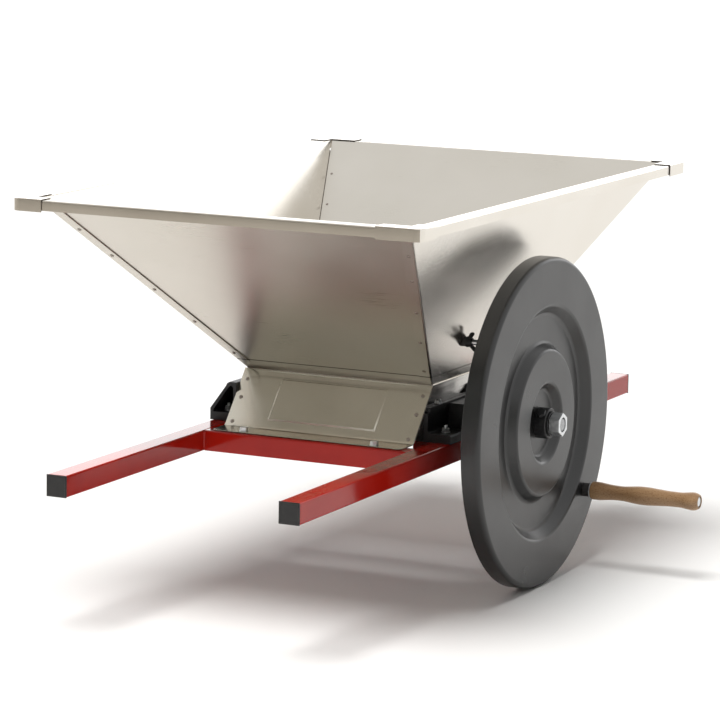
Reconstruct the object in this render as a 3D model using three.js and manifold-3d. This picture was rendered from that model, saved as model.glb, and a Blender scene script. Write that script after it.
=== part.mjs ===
// Apple scratter: a hand-cranked fruit mill that stands across a tub.
// Millimetres. X runs along the main shaft towards the flywheel, Y to the rear, Z up.
// Z = 0 is the underside of the two rails, and the main shaft lies over the origin.

import * as THREE from 'three';
import { mergeVertices } from 'three/addons/utils/BufferGeometryUtils.js';
import Module from 'manifold-3d';

const wasm = await Module();
wasm.setup();

// Clearances
const GAP = 0.3; // between pieces that touch
const RUNNING = 0.08; // radial, between a turning piece and its bearing

// Frame of square tube
const TUBE = 30; // side of the square tube
const TUBE_WALL = 2;
const RAIL_BESIDE = 25; // from the chamber's side out to a rail's centre line
const RAIL_LENGTH = 1148; // without the plugs
const RAIL_SHIFT = -6; // the rails' middle, from the shaft
const CROSS_SPACING = 358; // between the two cross tubes' centre lines
const PLUG_HEAD = 3; // what shows of a rail plug
const PLUG_TONGUE = 16; // what is inside the tube
const PLUG_WALL = 2.5;

// Hopper of folded sheet
const SHEET = 1.2; // thickness of the hopper's sheets
const MOUTH_X = 563; // inside the rim, along the shaft
const MOUTH_Y = 908; // inside the rim, front to rear
const THROAT_IN = 6.5; // from the aprons' top edge in to the throat's wall
const RIM_TOP = 382;
const RIM_WIDTH = 24.5; // the flat top of the rim
const RIM_DROP = 14; // the rim's outer face
const THROAT_TOP = 106.5; // where the slopes end
const COLLAR_HEIGHT = 9; // the upright band under the slopes
const SEAM_WIDTH = 17; // the corner flange of the side sheets
const CAP_LONG = 65; // a corner cap's longer arm along the rim
const CAP_SHORT = 46; // its shorter arm
const CAP_RADIUS = 13; // its rounded outer corner

// Chamber under the hopper
const APRON_SHEET = 1.5;
const APRON_TOP_Y = 88; // from the shaft to the apron's top edge
const APRON_FOOT_Y = 150; // from the shaft to the apron's bend
const APRON_FLANGE = 39; // the part that lies on the cross tube
const STAMP_WIDTH = 171; // the stamped rectangle
const STAMP_HEIGHT = 70;
const STAMP_DEPTH = 1.2;
const STAMP_LOW = 14; // from the bend up to the rectangle
const CHAMBER_FLANGE = 17; // the side sheet's flange behind the apron
const CHAMBER_DROP = 22; // how far the side sheet hangs beside the rail

// Side castings
const CAST_WALL = 6;
const CAST_REACH = 42.2; // outwards from the chamber
const CAST_LENGTH = 230; // front to rear
const CAST_WALL_TOP = 78;
const FOOT_THICK = 12; // the pads under the studs' washers
const PAD_LENGTH = 58; // front to rear
const GUSSET_TOP = 88;
const STUD_INSET = 23; // from a casting's end in to its stud
const HOUSING_LENGTH = 84; // bearing housing, front to rear
const HOUSING_TOP = 75.4;

// Shaft and drum
const BORE_FLOOR = 4.7; // what the side casting has under its bearing bush
const SHAFT_R = 12.5;
const SHAFT_STUB = 2.5; // past the retaining collar
const SHAFT_PAST_WHEEL = 24.5; // past the flywheel's face
const THREAD_R = 10;
const BUSH_WALL = 4.5;
const BUSH_FLANGE = 2.7;
const DRUM_LENGTH = 276;
const DRUM_R = 42;
const BLADE_COUNT = 8;
const BLADE_THICK = 2.5;
const BLADE_TIP_R = 50;
const BLADE_ROOT_R = 33;
const TOOTH_PITCH = 17.2;
const TOOTH_HEIGHT = 7;
const END_DISC_THICK = 4;
const DRUM_PLAY = 5.5; // between an end disc and the chamber's side
const END_DISC_R = 44;
const KEY_WIDTH = 8;
const KEY_HEIGHT = 7;
const KEY_DEPTH = 4; // how deep the key sits in the shaft
const KEY_LENGTH = 90;
const RETAINER_R = 20;
const RETAINER_LENGTH = 10;

// Comb plates beside the drum
const COMB_SHEET = 2;
const COMB_IN = 2; // from the aprons' top edge in to a comb's top edge
const COMB_BELOW = 11.5; // from the throat down to it
const COMB_BEND_Y = 81;
const COMB_BEND_Z = 66;
const COMB_LOW_Y = 56;
const COMB_LOW_Z = 62;
const COMB_PITCH = 22;
const COMB_NOTCH = 7;
const COMB_BOLT_Y = 66;
const COMB_BOLT_Z = 79;

// Flywheel and its fastening
const WHEEL_R = 237;
const WHEEL_STAND_OFF = 93; // from the sleeve's inner end to the front face
const WHEEL_RIM_WIDTH = 27.5;
const WHEEL_SHEET = 3.5;
const WHEEL_EDGE_R = 7; // rounding of the rim's edge
const GROOVE_R = 168; // outer edge of the ring groove
const GROOVE_FLOOR_R = 155;
const BOSS_FOOT_R = 114; // the raised ring, at the groove's floor
const BOSS_R = 104.5;
const WELL_R = 57.5; // the well round the hub
const WELL_FLOOR_R = 48;
const GROOVE_DEPTH = 15;
const WELL_DEPTH = 12;
const HUB_R = 22;
const HUB_FRONT = 6.5; // how far the collar stands past the wheel's face
const SET_BOLT_R = 4;
const SET_BOLT_FLATS = 13;
const SET_BOLT_LEAN = 45; // degrees, from upright towards the front
const HUB_WASHER_R = 18;
const HUB_WASHER_THICK = 2.5;
const HUB_NUT_FLATS = 30;
const HUB_NUT_THICK = 16;

// Crank
const CRANK_RADIUS = 191.7;
const CRANK_ANGLE = -39.5; // degrees, from the rear horizontal, seen from the flywheel's side
const SPINDLE_R = 5;
const SPINDLE_HEAD_R = 7.5;
const SPINDLE_HEAD_DEPTH = 6;
const SPINDLE_NUT_FLATS = 16;
const SPINDLE_NUT_THICK = 8;
const SPACER_LENGTH = 11;
const SPACER_R = 10;
const CRANK_WASHER_R = 12;
const GRIP_LENGTH = 167;
const GRIP_R = 13.2;
const GRIP_WAIST_R = 10.7;
const GRIP_BELLY_R = 13.5;
const GRIP_END_R = 9.6;

// Feed flap in the throat
const FLAP_Y = -48;
const FLAP_Z = 167;
const FLAP_LENGTH = 52;
const FLAP_SHEET = 1.5;
const FLAP_PLAY = 4; // from each side of the throat
const FLAP_EYE_WALL = 2;
const ROD_R = 4;
const ROD_REACH = 26; // past the side sheets
const WEDGE_R = 9; // half the side of the wedge washer
const WING_HUB_R = 8;
const WING_SHEET = 3;
const WING_TURN = 28; // degrees, of the wing nuts on the rod

// Fasteners
const BOLT_R = 3; // M6
const BOLT_FLATS = 10;
const BOLT_HEAD = 4.2;
const NUT_THICK = 5;
const WASHER_THICK = 1.6;

// Materials, one for each finish
const finish = (color, roughness, metalness) =>
  new THREE.MeshStandardMaterial({ color, roughness, metalness });
const redPaint = finish(0xb3281e, 0.3, 0.1);
const blackPlastic = finish(0x1a1a1b, 0.55, 0);
const stainless = finish(0xb9b4aa, 0.32, 1);
const polished = finish(0xd5d3cf, 0.15, 1);
const blackCasting = finish(0x1c1d1f, 0.45, 0.1);
const wheelBlack = finish(0x2b2c2d, 0.5, 0.1);
const zinc = finish(0xc4c6c8, 0.3, 1);
const shaftSteel = finish(0x9b9da0, 0.35, 1);
const drumAluminium = finish(0xb3b5b7, 0.45, 1);
const bronze = finish(0xa57b45, 0.4, 1);
const beech = finish(0xb9803f, 0.45, 0);

const model = new THREE.Group();

function part(name, geometry, material) {
  const mesh = new THREE.Mesh(geometry, material);
  mesh.name = name;
  model.add(mesh);
}

// Solids, cuts and joins

function solid(geometry) {
  const bare = geometry.clone();
  bare.deleteAttribute('normal');
  bare.deleteAttribute('uv');
  const merged = mergeVertices(bare, 1e-4);
  return new wasm.Manifold(new wasm.Mesh({
    numProp: 3,
    vertProperties: new Float32Array(merged.attributes.position.array),
    triVerts: new Uint32Array(merged.index.array),
  }));
}

function geometryOf(manifold) {
  const mesh = manifold.getMesh();
  const geometry = new THREE.BufferGeometry();
  geometry.setAttribute('position', new THREE.BufferAttribute(mesh.vertProperties, 3));
  geometry.setIndex(new THREE.BufferAttribute(mesh.triVerts, 1));
  return geometry;
}

function join(...geometries) {
  return geometryOf(geometries.map(solid).reduce((sum, next) => sum.add(next)));
}

function cut(body, ...tools) {
  return geometryOf(tools.map(solid).reduce((rest, tool) => rest.subtract(tool), solid(body)));
}

// The same piece on the other side of the middle plane X = 0
function mirrored(geometry) {
  const copy = geometryOf(solid(geometry));
  copy.scale(-1, 1, 1);
  const corners = copy.index.array;
  for (let first = 0; first < corners.length; first += 3) {
    const swap = corners[first + 1];
    corners[first + 1] = corners[first + 2];
    corners[first + 2] = swap;
  }
  return copy;
}

// The same piece half a turn round the upright through the origin
function turned(geometry) {
  return geometry.clone().rotateZ(Math.PI);
}

// The same piece on the other side of the middle plane Y = 0
function mirroredInY(geometry) {
  return turned(mirrored(geometry));
}

function box(lowX, highX, lowY, highY, lowZ, highZ) {
  return new THREE.BoxGeometry(highX - lowX, highY - lowY, highZ - lowZ)
    .translate((lowX + highX) / 2, (lowY + highY) / 2, (lowZ + highZ) / 2);
}

function outline(points, holes = []) {
  const shape = new THREE.Shape(points.map(([x, y]) => new THREE.Vector2(x, y)));
  shape.holes = holes;
  return shape;
}

function roundHole(x, y, radius) {
  const path = new THREE.Path();
  path.absarc(x, y, radius, 0, 2 * Math.PI, true);
  return path;
}

// A flat outline made thick, in the frame of two directions in its plane
function plate(shape, thickness, origin, across, up, curveSegments = 4) {
  const normal = new THREE.Vector3().crossVectors(across, up);
  const matrix = new THREE.Matrix4().makeBasis(across, up, normal).setPosition(origin);
  return new THREE.ExtrudeGeometry(shape, { depth: thickness, bevelEnabled: false, curveSegments })
    .applyMatrix4(matrix);
}

const vector = (x, y, z) => new THREE.Vector3(x, y, z);
const X_AXIS = vector(1, 0, 0);
const Y_AXIS = vector(0, 1, 0);
const Z_AXIS = vector(0, 0, 1);
const INWARDS = vector(-1, 0, 0);
const DOWN = vector(0, 0, -1);

// An outline in (y, z), made thick along X
function alongX(shape, lowX, highX, curveSegments = 4) {
  return plate(shape, highX - lowX, vector(lowX, 0, 0), Y_AXIS, Z_AXIS, curveSegments);
}

// An outline in (x, z), made thick along Y
function alongY(shape, lowY, highY) {
  return plate(shape, highY - lowY, vector(0, highY, 0), X_AXIS, Z_AXIS);
}

// An outline in (x, y), made thick along Z
function alongZ(shape, lowZ, highZ, curveSegments = 4) {
  return plate(shape, highZ - lowZ, vector(0, 0, lowZ), X_AXIS, Y_AXIS, curveSegments);
}

// A turned piece: rows of (place along the axis, radius), from start to end
function turnedPiece(rows, segments, centre, direction) {
  const points = rows.map(([along, radius]) => new THREE.Vector2(radius, along));
  const geometry = new THREE.LatheGeometry(points, segments);
  geometry.applyQuaternion(new THREE.Quaternion().setFromUnitVectors(Y_AXIS, direction));
  geometry.translate(centre.x, centre.y, centre.z);
  return geometry;
}

function rod(radius, start, end, segments = 24) {
  const direction = end.clone().sub(start);
  const length = direction.length();
  const rows = [[0, 0], [0, radius], [length, radius], [length, 0]];
  return turnedPiece(rows, segments, start, direction.normalize());
}

function ring(innerR, outerR, start, end, segments = 24) {
  const direction = end.clone().sub(start);
  const length = direction.length();
  const rows = [[0, innerR], [0, outerR], [length, outerR], [length, innerR], [0, innerR]];
  return turnedPiece(rows, segments, start, direction.normalize());
}

// The radius that a polygon of so many sides needs to clear a round piece
const clearing = (radius, segments) => radius / Math.cos(Math.PI / segments);

function hexagon(flats, start, end) {
  return rod(flats / Math.sqrt(3), start, end, 6);
}

const offset = (point, direction, distance) => point.clone().addScaledVector(direction, distance);

// A hex bolt: its head stands on the seat, its shank goes against the direction
function bolt(seat, direction, shank) {
  return join(
    hexagon(BOLT_FLATS, seat, offset(seat, direction, BOLT_HEAD)),
    rod(BOLT_R, offset(seat, direction, BOLT_HEAD / 2), offset(seat, direction, -shank), 12),
  );
}

function nut(seat, direction, thickness = NUT_THICK, flats = BOLT_FLATS, boreR = BOLT_R + GAP) {
  const end = offset(seat, direction, thickness);
  return cut(
    hexagon(flats, seat, end),
    rod(clearing(boreR, 24), offset(seat, direction, -1), offset(end, direction, 1)),
  );
}

const boltHoleR = BOLT_R + GAP;

// The chamber is as wide as the drum and its end discs, with play at each side
const drumHalf = DRUM_LENGTH / 2;
const chamberX = drumHalf + GAP + END_DISC_THICK + DRUM_PLAY + SHEET; // side sheets' outer face

// The shaft stands in its bushes, over the castings' floor and the rails
const bushR = SHAFT_R + BUSH_WALL;
const shaftHeight = TUBE + GAP + BORE_FLOOR + bushR;

// Frame

const railX = chamberX + RAIL_BESIDE;
const railFront = RAIL_SHIFT - RAIL_LENGTH / 2;
const railRear = RAIL_SHIFT + RAIL_LENGTH / 2;
const crossY = CROSS_SPACING / 2;
const tubeHalf = TUBE / 2;
const tubeInside = tubeHalf - TUBE_WALL;

// Where the castings' foot studs stand
const studY = CAST_LENGTH / 2 - STUD_INSET;
const studX = railX - 1;

function squareTube(centre) {
  const hole = new THREE.Path();
  hole.moveTo(centre - tubeInside, tubeHalf - tubeInside);
  hole.lineTo(centre - tubeInside, tubeHalf + tubeInside);
  hole.lineTo(centre + tubeInside, tubeHalf + tubeInside);
  hole.lineTo(centre + tubeInside, tubeHalf - tubeInside);
  return outline([
    [centre - tubeHalf, 0], [centre + tubeHalf, 0],
    [centre + tubeHalf, TUBE], [centre - tubeHalf, TUBE],
  ], [hole]);
}

function rail() {
  const tube = alongY(squareTube(railX), railFront, railRear);
  const holes = [studY, -studY].map(
    (y) => rod(boltHoleR, vector(studX, y, tubeHalf), vector(studX, y, TUBE + 5), 12),
  );
  return cut(tube, ...holes);
}

function crossTube() {
  const half = railX - tubeHalf - GAP;
  return alongX(squareTube(crossY), -half, half);
}

// A plug for a front end of a rail: a square head and a hollow tongue
function railPlug() {
  const tongue = tubeInside - GAP;
  const hollow = tongue - PLUG_WALL;
  const headFace = railFront - GAP;
  return cut(
    join(
      box(-tubeHalf, tubeHalf, headFace - PLUG_HEAD, headFace, 0, TUBE),
      box(-tongue, tongue, headFace - 1, railFront + PLUG_TONGUE,
        tubeHalf - tongue, tubeHalf + tongue),
    ),
    box(-hollow, hollow, headFace + 1, railFront + PLUG_TONGUE + 1,
      tubeHalf - hollow, tubeHalf + hollow),
  );
}

const rearPlugShift = railRear + railFront;

part('rail_right', rail(), redPaint);
part('rail_left', mirrored(rail()), redPaint);
part('cross_tube_rear', crossTube(), redPaint);
part('cross_tube_front', turned(crossTube()), redPaint);
part('rail_plug_front_right', railPlug().translate(railX, 0, 0), blackPlastic);
part('rail_plug_front_left', railPlug().translate(-railX, 0, 0), blackPlastic);
part('rail_plug_rear_right', turned(railPlug()).translate(railX, rearPlugShift, 0), blackPlastic);
part('rail_plug_rear_left', turned(railPlug()).translate(-railX, rearPlugShift, 0), blackPlastic);

// Hopper

const mouthX = MOUTH_X / 2;
const mouthY = MOUTH_Y / 2;
const throatX = chamberX - 2 * SHEET - GAP; // the collar stands inside the chamber
const throatY = APRON_TOP_Y - THROAT_IN;
const slopeRise = RIM_TOP - THROAT_TOP;
const frontRun = mouthY - throatY;
const sideRun = mouthX - throatX;
const frontSlope = Math.hypot(frontRun, slopeRise);
const sideSlope = Math.hypot(sideRun, slopeRise);
const collarFoot = THROAT_TOP - COLLAR_HEIGHT;
const rimOuterX = mouthX + RIM_WIDTH;
const rimOuterY = mouthY + RIM_WIDTH;

// The front sheet's own frame: across is +X, up follows the slope
const frontOrigin = vector(0, -throatY, THROAT_TOP);
const frontUp = vector(0, -frontRun / frontSlope, slopeRise / frontSlope);
const frontOut = new THREE.Vector3().crossVectors(X_AXIS, frontUp);

// The right sheet's own frame: across is +Y, up follows the slope
const rightOrigin = vector(throatX, 0, THROAT_TOP);
const rightUp = vector(sideRun / sideSlope, 0, slopeRise / sideSlope);

// The corner between two sheets, at a place up the front sheet or up the right sheet
const frontCorner = (up) => throatX + sideRun * up / frontSlope;
const rightCorner = (up) => throatY + frontRun * up / sideSlope;

// The front sheet stops short of the side sheets by this much
const edgeShort = GAP + SHEET * sideRun / slopeRise;

// The side sheets run past the corner and carry a flange over the front sheet
const seamOffset = SHEET + GAP;
const seamOverrun = (seamOffset + SHEET) * frontSlope / slopeRise;

// The rim's corners are cut off under the rounded caps
const cornerCut = CAP_RADIUS - SHEET - GAP;

// The rim's flat on the side where y = -inner, mitred at its ends
function rimFlat(inner, ends) {
  const outer = inner + RIM_WIDTH;
  const half = cornerCut / 2;
  const full = ends + RIM_WIDTH - GAP / 2;
  return alongZ(outline([
    [-full + cornerCut, -outer], [full - cornerCut, -outer],
    [full - half, -outer + half], [ends - GAP / 2, -inner],
    [-ends + GAP / 2, -inner], [-full + half, -outer + half],
  ]), RIM_TOP - SHEET, RIM_TOP);
}

function rimLip(outer, ends) {
  return box(
    -ends + cornerCut, ends - cornerCut, -outer, -outer + SHEET,
    RIM_TOP - RIM_DROP, RIM_TOP - SHEET / 2,
  );
}

function hopperFront() {
  const low = throatX - edgeShort;
  const high = mouthX - edgeShort;
  const top = frontSlope - 0.2;
  const slope = plate(
    outline([[-low, 0], [low, 0], [high, top], [-high, top]]),
    SHEET, frontOrigin, X_AXIS, frontUp,
  );
  const collar = box(-low, low, -throatY - SHEET, -throatY, collarFoot, THROAT_TOP);
  return join(slope, rimFlat(mouthY, mouthX), rimLip(rimOuterY, rimOuterX), collar);
}

// The cross rod goes through the side sheets at this place up the slope
const rodUp = (FLAP_Z - THROAT_TOP) * sideSlope / slopeRise;
const rodHoleR = ROD_R + 1.5;

// The flange that laps over the front sheet from the right sheet
function seamFlange() {
  const start = 3;
  const heel = start + SEAM_WIDTH; // its foot is cut off at a slant
  const end = frontSlope - 26;
  return plate(
    outline([
      [frontCorner(heel) - SEAM_WIDTH, heel], [frontCorner(start) - 2, start],
      [frontCorner(start) + 0.2, start],
      [frontCorner(end) + 0.2, end], [frontCorner(end) - SEAM_WIDTH, end],
    ]),
    SHEET, offset(frontOrigin, frontOut, seamOffset), X_AXIS, frontUp,
  );
}

function hopperRight() {
  const top = sideSlope - 0.2;
  const shoulder = sideSlope - RIM_DROP; // the overrun ends below the front rim
  const wide = rightCorner(shoulder);
  const slope = plate(
    outline([
      [-throatY - seamOverrun, 0], [throatY + seamOverrun, 0],
      [wide + seamOverrun, shoulder], [wide - 1, shoulder],
      [mouthY - 1, top], [-mouthY + 1, top],
      [-wide + 1, shoulder], [-wide - seamOverrun, shoulder],
    ], [roundHole(FLAP_Y, rodUp + GAP, rodHoleR)]),
    SHEET, rightOrigin, Y_AXIS, rightUp,
  );
  const rim = rimFlat(mouthX, mouthY).rotateZ(Math.PI / 2);
  const lip = rimLip(rimOuterX, rimOuterY).rotateZ(Math.PI / 2);
  const collar = box(
    throatX, throatX + SHEET, -throatY - SHEET, throatY + SHEET, collarFoot, THROAT_TOP,
  );
  return join(slope, rim, lip, collar, seamFlange(), mirroredInY(seamFlange()));
}

// A cap folded round the front right corner of the rim, with arms of these lengths
function cornerCap(lengthX, lengthY) {
  const outX = rimOuterX + GAP + SHEET;
  const outY = rimOuterY + GAP + SHEET;
  const armX = rimOuterX - lengthX;
  const armY = rimOuterY - lengthY;
  const angle = (inset, over) => {
    const shape = new THREE.Shape();
    shape.moveTo(armX - over, -outY + inset);
    shape.lineTo(outX - CAP_RADIUS, -outY + inset);
    shape.absarc(outX - CAP_RADIUS, -outY + CAP_RADIUS, CAP_RADIUS - inset, -Math.PI / 2, 0);
    shape.lineTo(outX - inset, -armY + over);
    shape.lineTo(mouthX - over, -armY + over);
    shape.lineTo(mouthX - over, -mouthY + over);
    shape.lineTo(armX - over, -mouthY + over);
    return shape;
  };
  const roof = RIM_TOP + GAP;
  return cut(
    alongZ(angle(0, 0), RIM_TOP - RIM_DROP - 2, roof + SHEET, 6),
    alongZ(angle(SHEET, 1), RIM_TOP - RIM_DROP - 4, roof, 6),
  );
}

part('hopper_front', hopperFront(), stainless);
part('hopper_rear', turned(hopperFront()), stainless);
part('hopper_right', hopperRight(), stainless);
part('hopper_left', mirrored(hopperRight()), stainless);
part('corner_cap_front_right', cornerCap(CAP_LONG, CAP_SHORT), stainless);
part('corner_cap_front_left', mirrored(cornerCap(CAP_SHORT, CAP_LONG)), stainless);
part('corner_cap_rear_right', mirroredInY(cornerCap(CAP_SHORT, CAP_LONG)), stainless);
part('corner_cap_rear_left', turned(cornerCap(CAP_LONG, CAP_SHORT)), stainless);

// Chamber: aprons and side sheets

const flangeSeat = TUBE + GAP;
const apronFootZ = flangeSeat + APRON_SHEET;
const apronHalf = chamberX; // the aprons' edges are flush with the side sheets
const apronRise = THROAT_TOP - 1 - apronFootZ;
const apronRun = APRON_FOOT_Y - APRON_TOP_Y;
const apronSlope = Math.hypot(apronRun, apronRise);
const apronUp = vector(0, apronRun / apronSlope, apronRise / apronSlope);
const apronOut = new THREE.Vector3().crossVectors(X_AXIS, apronUp);
const apronOrigin = vector(0, -APRON_FOOT_Y, apronFootZ);

// From the middle to the aprons' outer faces, at a height
const apronFaceY = (z) => APRON_FOOT_Y - (z - apronFootZ) * apronRun / apronRise;

function rectangle(halfWidth, low, high) {
  return outline([[-halfWidth, low], [halfWidth, low], [halfWidth, high], [-halfWidth, high]]);
}

function apron() {
  const inner = offset(apronOrigin, apronOut, -APRON_SHEET);
  const slope = plate(
    rectangle(apronHalf, 0, apronSlope), APRON_SHEET, inner, X_AXIS, apronUp,
  );
  const stampTop = STAMP_LOW + STAMP_HEIGHT;
  const stamp = plate(
    rectangle(STAMP_WIDTH / 2, STAMP_LOW, stampTop),
    APRON_SHEET + STAMP_DEPTH, inner, X_AXIS, apronUp,
  );
  const hollow = plate(
    rectangle(STAMP_WIDTH / 2 - APRON_SHEET, STAMP_LOW + APRON_SHEET, stampTop - APRON_SHEET),
    STAMP_DEPTH + 1, offset(inner, apronOut, -1), X_AXIS, apronUp,
  );
  const inside = -APRON_FOOT_Y + 0.8;
  const edge = -APRON_FOOT_Y - APRON_FLANGE;
  const foot = alongZ(outline([
    [-apronHalf, inside], [-apronHalf, edge + 8], [-apronHalf + 2.5, edge + 2.5],
    [-apronHalf + 8, edge], [apronHalf - 8, edge], [apronHalf - 2.5, edge + 2.5],
    [apronHalf, edge + 8], [apronHalf, inside],
  ]), flangeSeat, apronFootZ);
  return cut(join(slope, stamp, foot), hollow);
}

function chamberSide() {
  const back = APRON_SHEET + GAP;
  const shift = (back + SHEET / 2) * apronSlope / apronRise;
  const foot = apronFootZ;
  const low = foot - CHAMBER_DROP;
  const top = THROAT_TOP - 0.8;
  const footY = apronFaceY(foot) - shift;
  const topY = apronFaceY(top) - shift;
  const side = alongX(
    outline(
      [
        [-footY + 6, low], [footY - 6, low], [footY, low + 6], [footY, foot],
        [topY, top], [-topY, top], [-footY, foot], [-footY, low + 6],
      ],
      [roundHole(0, shaftHeight, bushR + 1)],
    ),
    chamberX - SHEET, chamberX, 8,
  );
  const flange = plate(
    outline([
      [chamberX - CHAMBER_FLANGE, 1.5], [chamberX - 0.2, 1.5],
      [chamberX - 0.2, apronSlope - 3], [chamberX - CHAMBER_FLANGE, apronSlope - 3],
    ]),
    SHEET, offset(apronOrigin, apronOut, -back - SHEET), X_AXIS, apronUp,
  );
  return join(side, flange, mirroredInY(flange));
}

part('apron_front', apron(), stainless);
part('apron_rear', turned(apron()), stainless);
part('chamber_side_right', chamberSide(), polished);
part('chamber_side_left', mirrored(chamberSide()), polished);

// Side castings with the bearing housings

const castInnerX = chamberX + GAP;
const castOuterX = castInnerX + CAST_REACH;
const castHalf = CAST_LENGTH / 2;
const castFoot = TUBE + GAP;
const padTop = castFoot + FOOT_THICK;
const bushEnd = castOuterX + GAP + BUSH_FLANGE;

// The front pad, with a fillet up to the casting's wall
function studPad() {
  return alongY(outline([
    [castInnerX, castFoot], [castOuterX, castFoot], [castOuterX, padTop - 2],
    [castOuterX - 2, padTop], [castInnerX + CAST_WALL + 5, padTop],
    [castInnerX + CAST_WALL + 1.5, padTop + 1.5], [castInnerX + CAST_WALL, padTop + 5],
    [castInnerX + CAST_WALL, CAST_WALL_TOP - 8], [castInnerX, CAST_WALL_TOP - 8],
  ]), -castHalf, -castHalf + PAD_LENGTH);
}

// The gusset over the rear pad, hollowed from the rear
function gusset() {
  const body = outline([
    [castInnerX, castFoot], [castOuterX, castFoot], [castOuterX, castFoot + 17],
    [castOuterX - 25, GUSSET_TOP - 6.5], [castOuterX - 27, GUSSET_TOP - 2.5],
    [castOuterX - 31, GUSSET_TOP], [castInnerX, GUSSET_TOP],
  ]);
  const recess = outline([
    [castInnerX + 5, padTop], [castOuterX - 5, padTop], [castOuterX - 5.5, padTop + 4],
    [castOuterX - 27, GUSSET_TOP - 11], [castOuterX - 31, GUSSET_TOP - 6.5],
    [castInnerX + 8, GUSSET_TOP - 5.5], [castInnerX + 5, GUSSET_TOP - 9],
  ]);
  return cut(
    alongY(body, castHalf - PAD_LENGTH, castHalf),
    alongY(recess, castHalf - PAD_LENGTH + CAST_WALL, castHalf + 1),
  );
}

function sideCasting() {
  const wall = box(
    castInnerX, castInnerX + CAST_WALL, -castHalf + 8, castHalf - 8, castFoot, CAST_WALL_TOP,
  );
  const foot = box(
    castInnerX, castOuterX, -castHalf + 8, castHalf - 8, castFoot, castFoot + FOOT_THICK - 4,
  );
  const housing = alongY(
    outline([
      [castInnerX, castFoot], [castOuterX, castFoot], [castOuterX, HOUSING_TOP - 4],
      [castOuterX - 4, HOUSING_TOP], [castInnerX, HOUSING_TOP],
    ]),
    -HOUSING_LENGTH / 2, HOUSING_LENGTH / 2,
  );
  const bore = rod(
    clearing(bushR + GAP / 2, 36),
    vector(castInnerX - 5, 0, shaftHeight), vector(castOuterX + 5, 0, shaftHeight), 36,
  );
  const studHole = (y) => rod(
    boltHoleR, vector(studX, y, castFoot - 5), vector(studX, y, padTop + 2), 12,
  );
  return cut(
    join(wall, foot, housing, studPad(), gusset()),
    bore, studHole(studY), studHole(-studY),
  );
}

part('side_casting_right', sideCasting(), blackCasting);
part('side_casting_left', turned(sideCasting()), blackCasting);

// Studs come up through the rail, with their heads inside the tube
const studSeat = TUBE - TUBE_WALL - GAP;
const studTop = padTop + WASHER_THICK + NUT_THICK + 4;
const footStud = (x, y) => bolt(vector(x, y, studSeat), DOWN, studTop - studSeat);
part('foot_stud_front_right', footStud(studX, -studY), zinc);
part('foot_stud_front_left', footStud(-studX, -studY), zinc);
part('foot_stud_rear_right', footStud(studX, studY), zinc);
part('foot_stud_rear_left', footStud(-studX, studY), zinc);

// Bearing bushes, each with a flange outside its housing
function bush() {
  const start = castInnerX + 2;
  const boreR = clearing(SHAFT_R + RUNNING, 36);
  return turnedPiece([
    [start, boreR], [start, bushR], [castOuterX + GAP, bushR], [castOuterX + GAP, bushR + 5],
    [bushEnd, bushR + 5], [bushEnd, boreR], [start, boreR],
  ], 36, vector(0, 0, shaftHeight), X_AXIS);
}
part('bearing_bush_right', bush(), bronze);
part('bearing_bush_left', mirrored(bush()), bronze);

// Main shaft, drum and blades

const shaftCentre = vector(0, 0, shaftHeight);
const shaftPoint = (x) => vector(x, 0, shaftHeight);
const turnStart = bushEnd + 1; // turning pieces start here, outside the bushes
const wheelFront = turnStart + WHEEL_STAND_OFF;
const wellFloor = wheelFront - WELL_DEPTH;
const collarEnd = wheelFront + HUB_FRONT;
const keyFoot = SHAFT_R - KEY_DEPTH;
const keyTop = keyFoot + KEY_HEIGHT;

function mainShaft() {
  const shoulder = collarEnd - 1;
  const leftEnd = -turnStart - RETAINER_LENGTH - SHAFT_STUB;
  const nutEnd = wheelFront + SHAFT_PAST_WHEEL;
  const rows = [
    [leftEnd, 0], [leftEnd, SHAFT_R - 1], [leftEnd + 1, SHAFT_R],
    [shoulder, SHAFT_R], [shoulder, THREAD_R],
    [nutEnd - 1.5, THREAD_R], [nutEnd, THREAD_R - 1.5], [nutEnd, 0],
  ];
  const halfLength = KEY_LENGTH / 2 + GAP;
  const halfWidth = KEY_WIDTH / 2 + GAP;
  const keyway = box(
    -halfLength, halfLength, -halfWidth, halfWidth,
    shaftHeight + keyFoot - GAP, shaftHeight + SHAFT_R + 5,
  );
  return cut(turnedPiece(rows, 36, shaftCentre, X_AXIS), keyway);
}

const bladeAngles = Array.from(
  { length: BLADE_COUNT }, (_, count) => (count + 0.5) * 2 * Math.PI / BLADE_COUNT,
);

// The drum's section: a circle with a slot for each blade
function drumSection() {
  const slotHalf = BLADE_THICK / 2 + GAP;
  const slotFoot = BLADE_ROOT_R - GAP;
  const step = 2 * Math.PI / BLADE_COUNT;
  const mouth = Math.asin(slotHalf / DRUM_R);
  const points = [];
  for (const angle of bladeAngles) {
    const at = (radius, side) => [
      radius * Math.cos(angle) - side * Math.sin(angle),
      radius * Math.sin(angle) + side * Math.cos(angle),
    ];
    points.push(at(DRUM_R, -slotHalf), at(slotFoot, -slotHalf));
    points.push(at(slotFoot, slotHalf), at(DRUM_R, slotHalf));
    for (let arc = 1; arc < 5; arc += 1) {
      const turn = angle + mouth + (step - 2 * mouth) * arc / 5;
      points.push([DRUM_R * Math.cos(turn), DRUM_R * Math.sin(turn)]);
    }
  }
  return points.map(([y, z]) => [y, z + shaftHeight]);
}

function drumBore() {
  const path = new THREE.Path();
  const half = KEY_WIDTH / 2 + GAP;
  const boreR = SHAFT_R + GAP;
  const start = Math.acos(half / boreR);
  path.absarc(0, shaftHeight, boreR, start, Math.PI - start, true);
  path.lineTo(-half, shaftHeight + keyTop + GAP);
  path.lineTo(half, shaftHeight + keyTop + GAP);
  return path;
}

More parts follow.
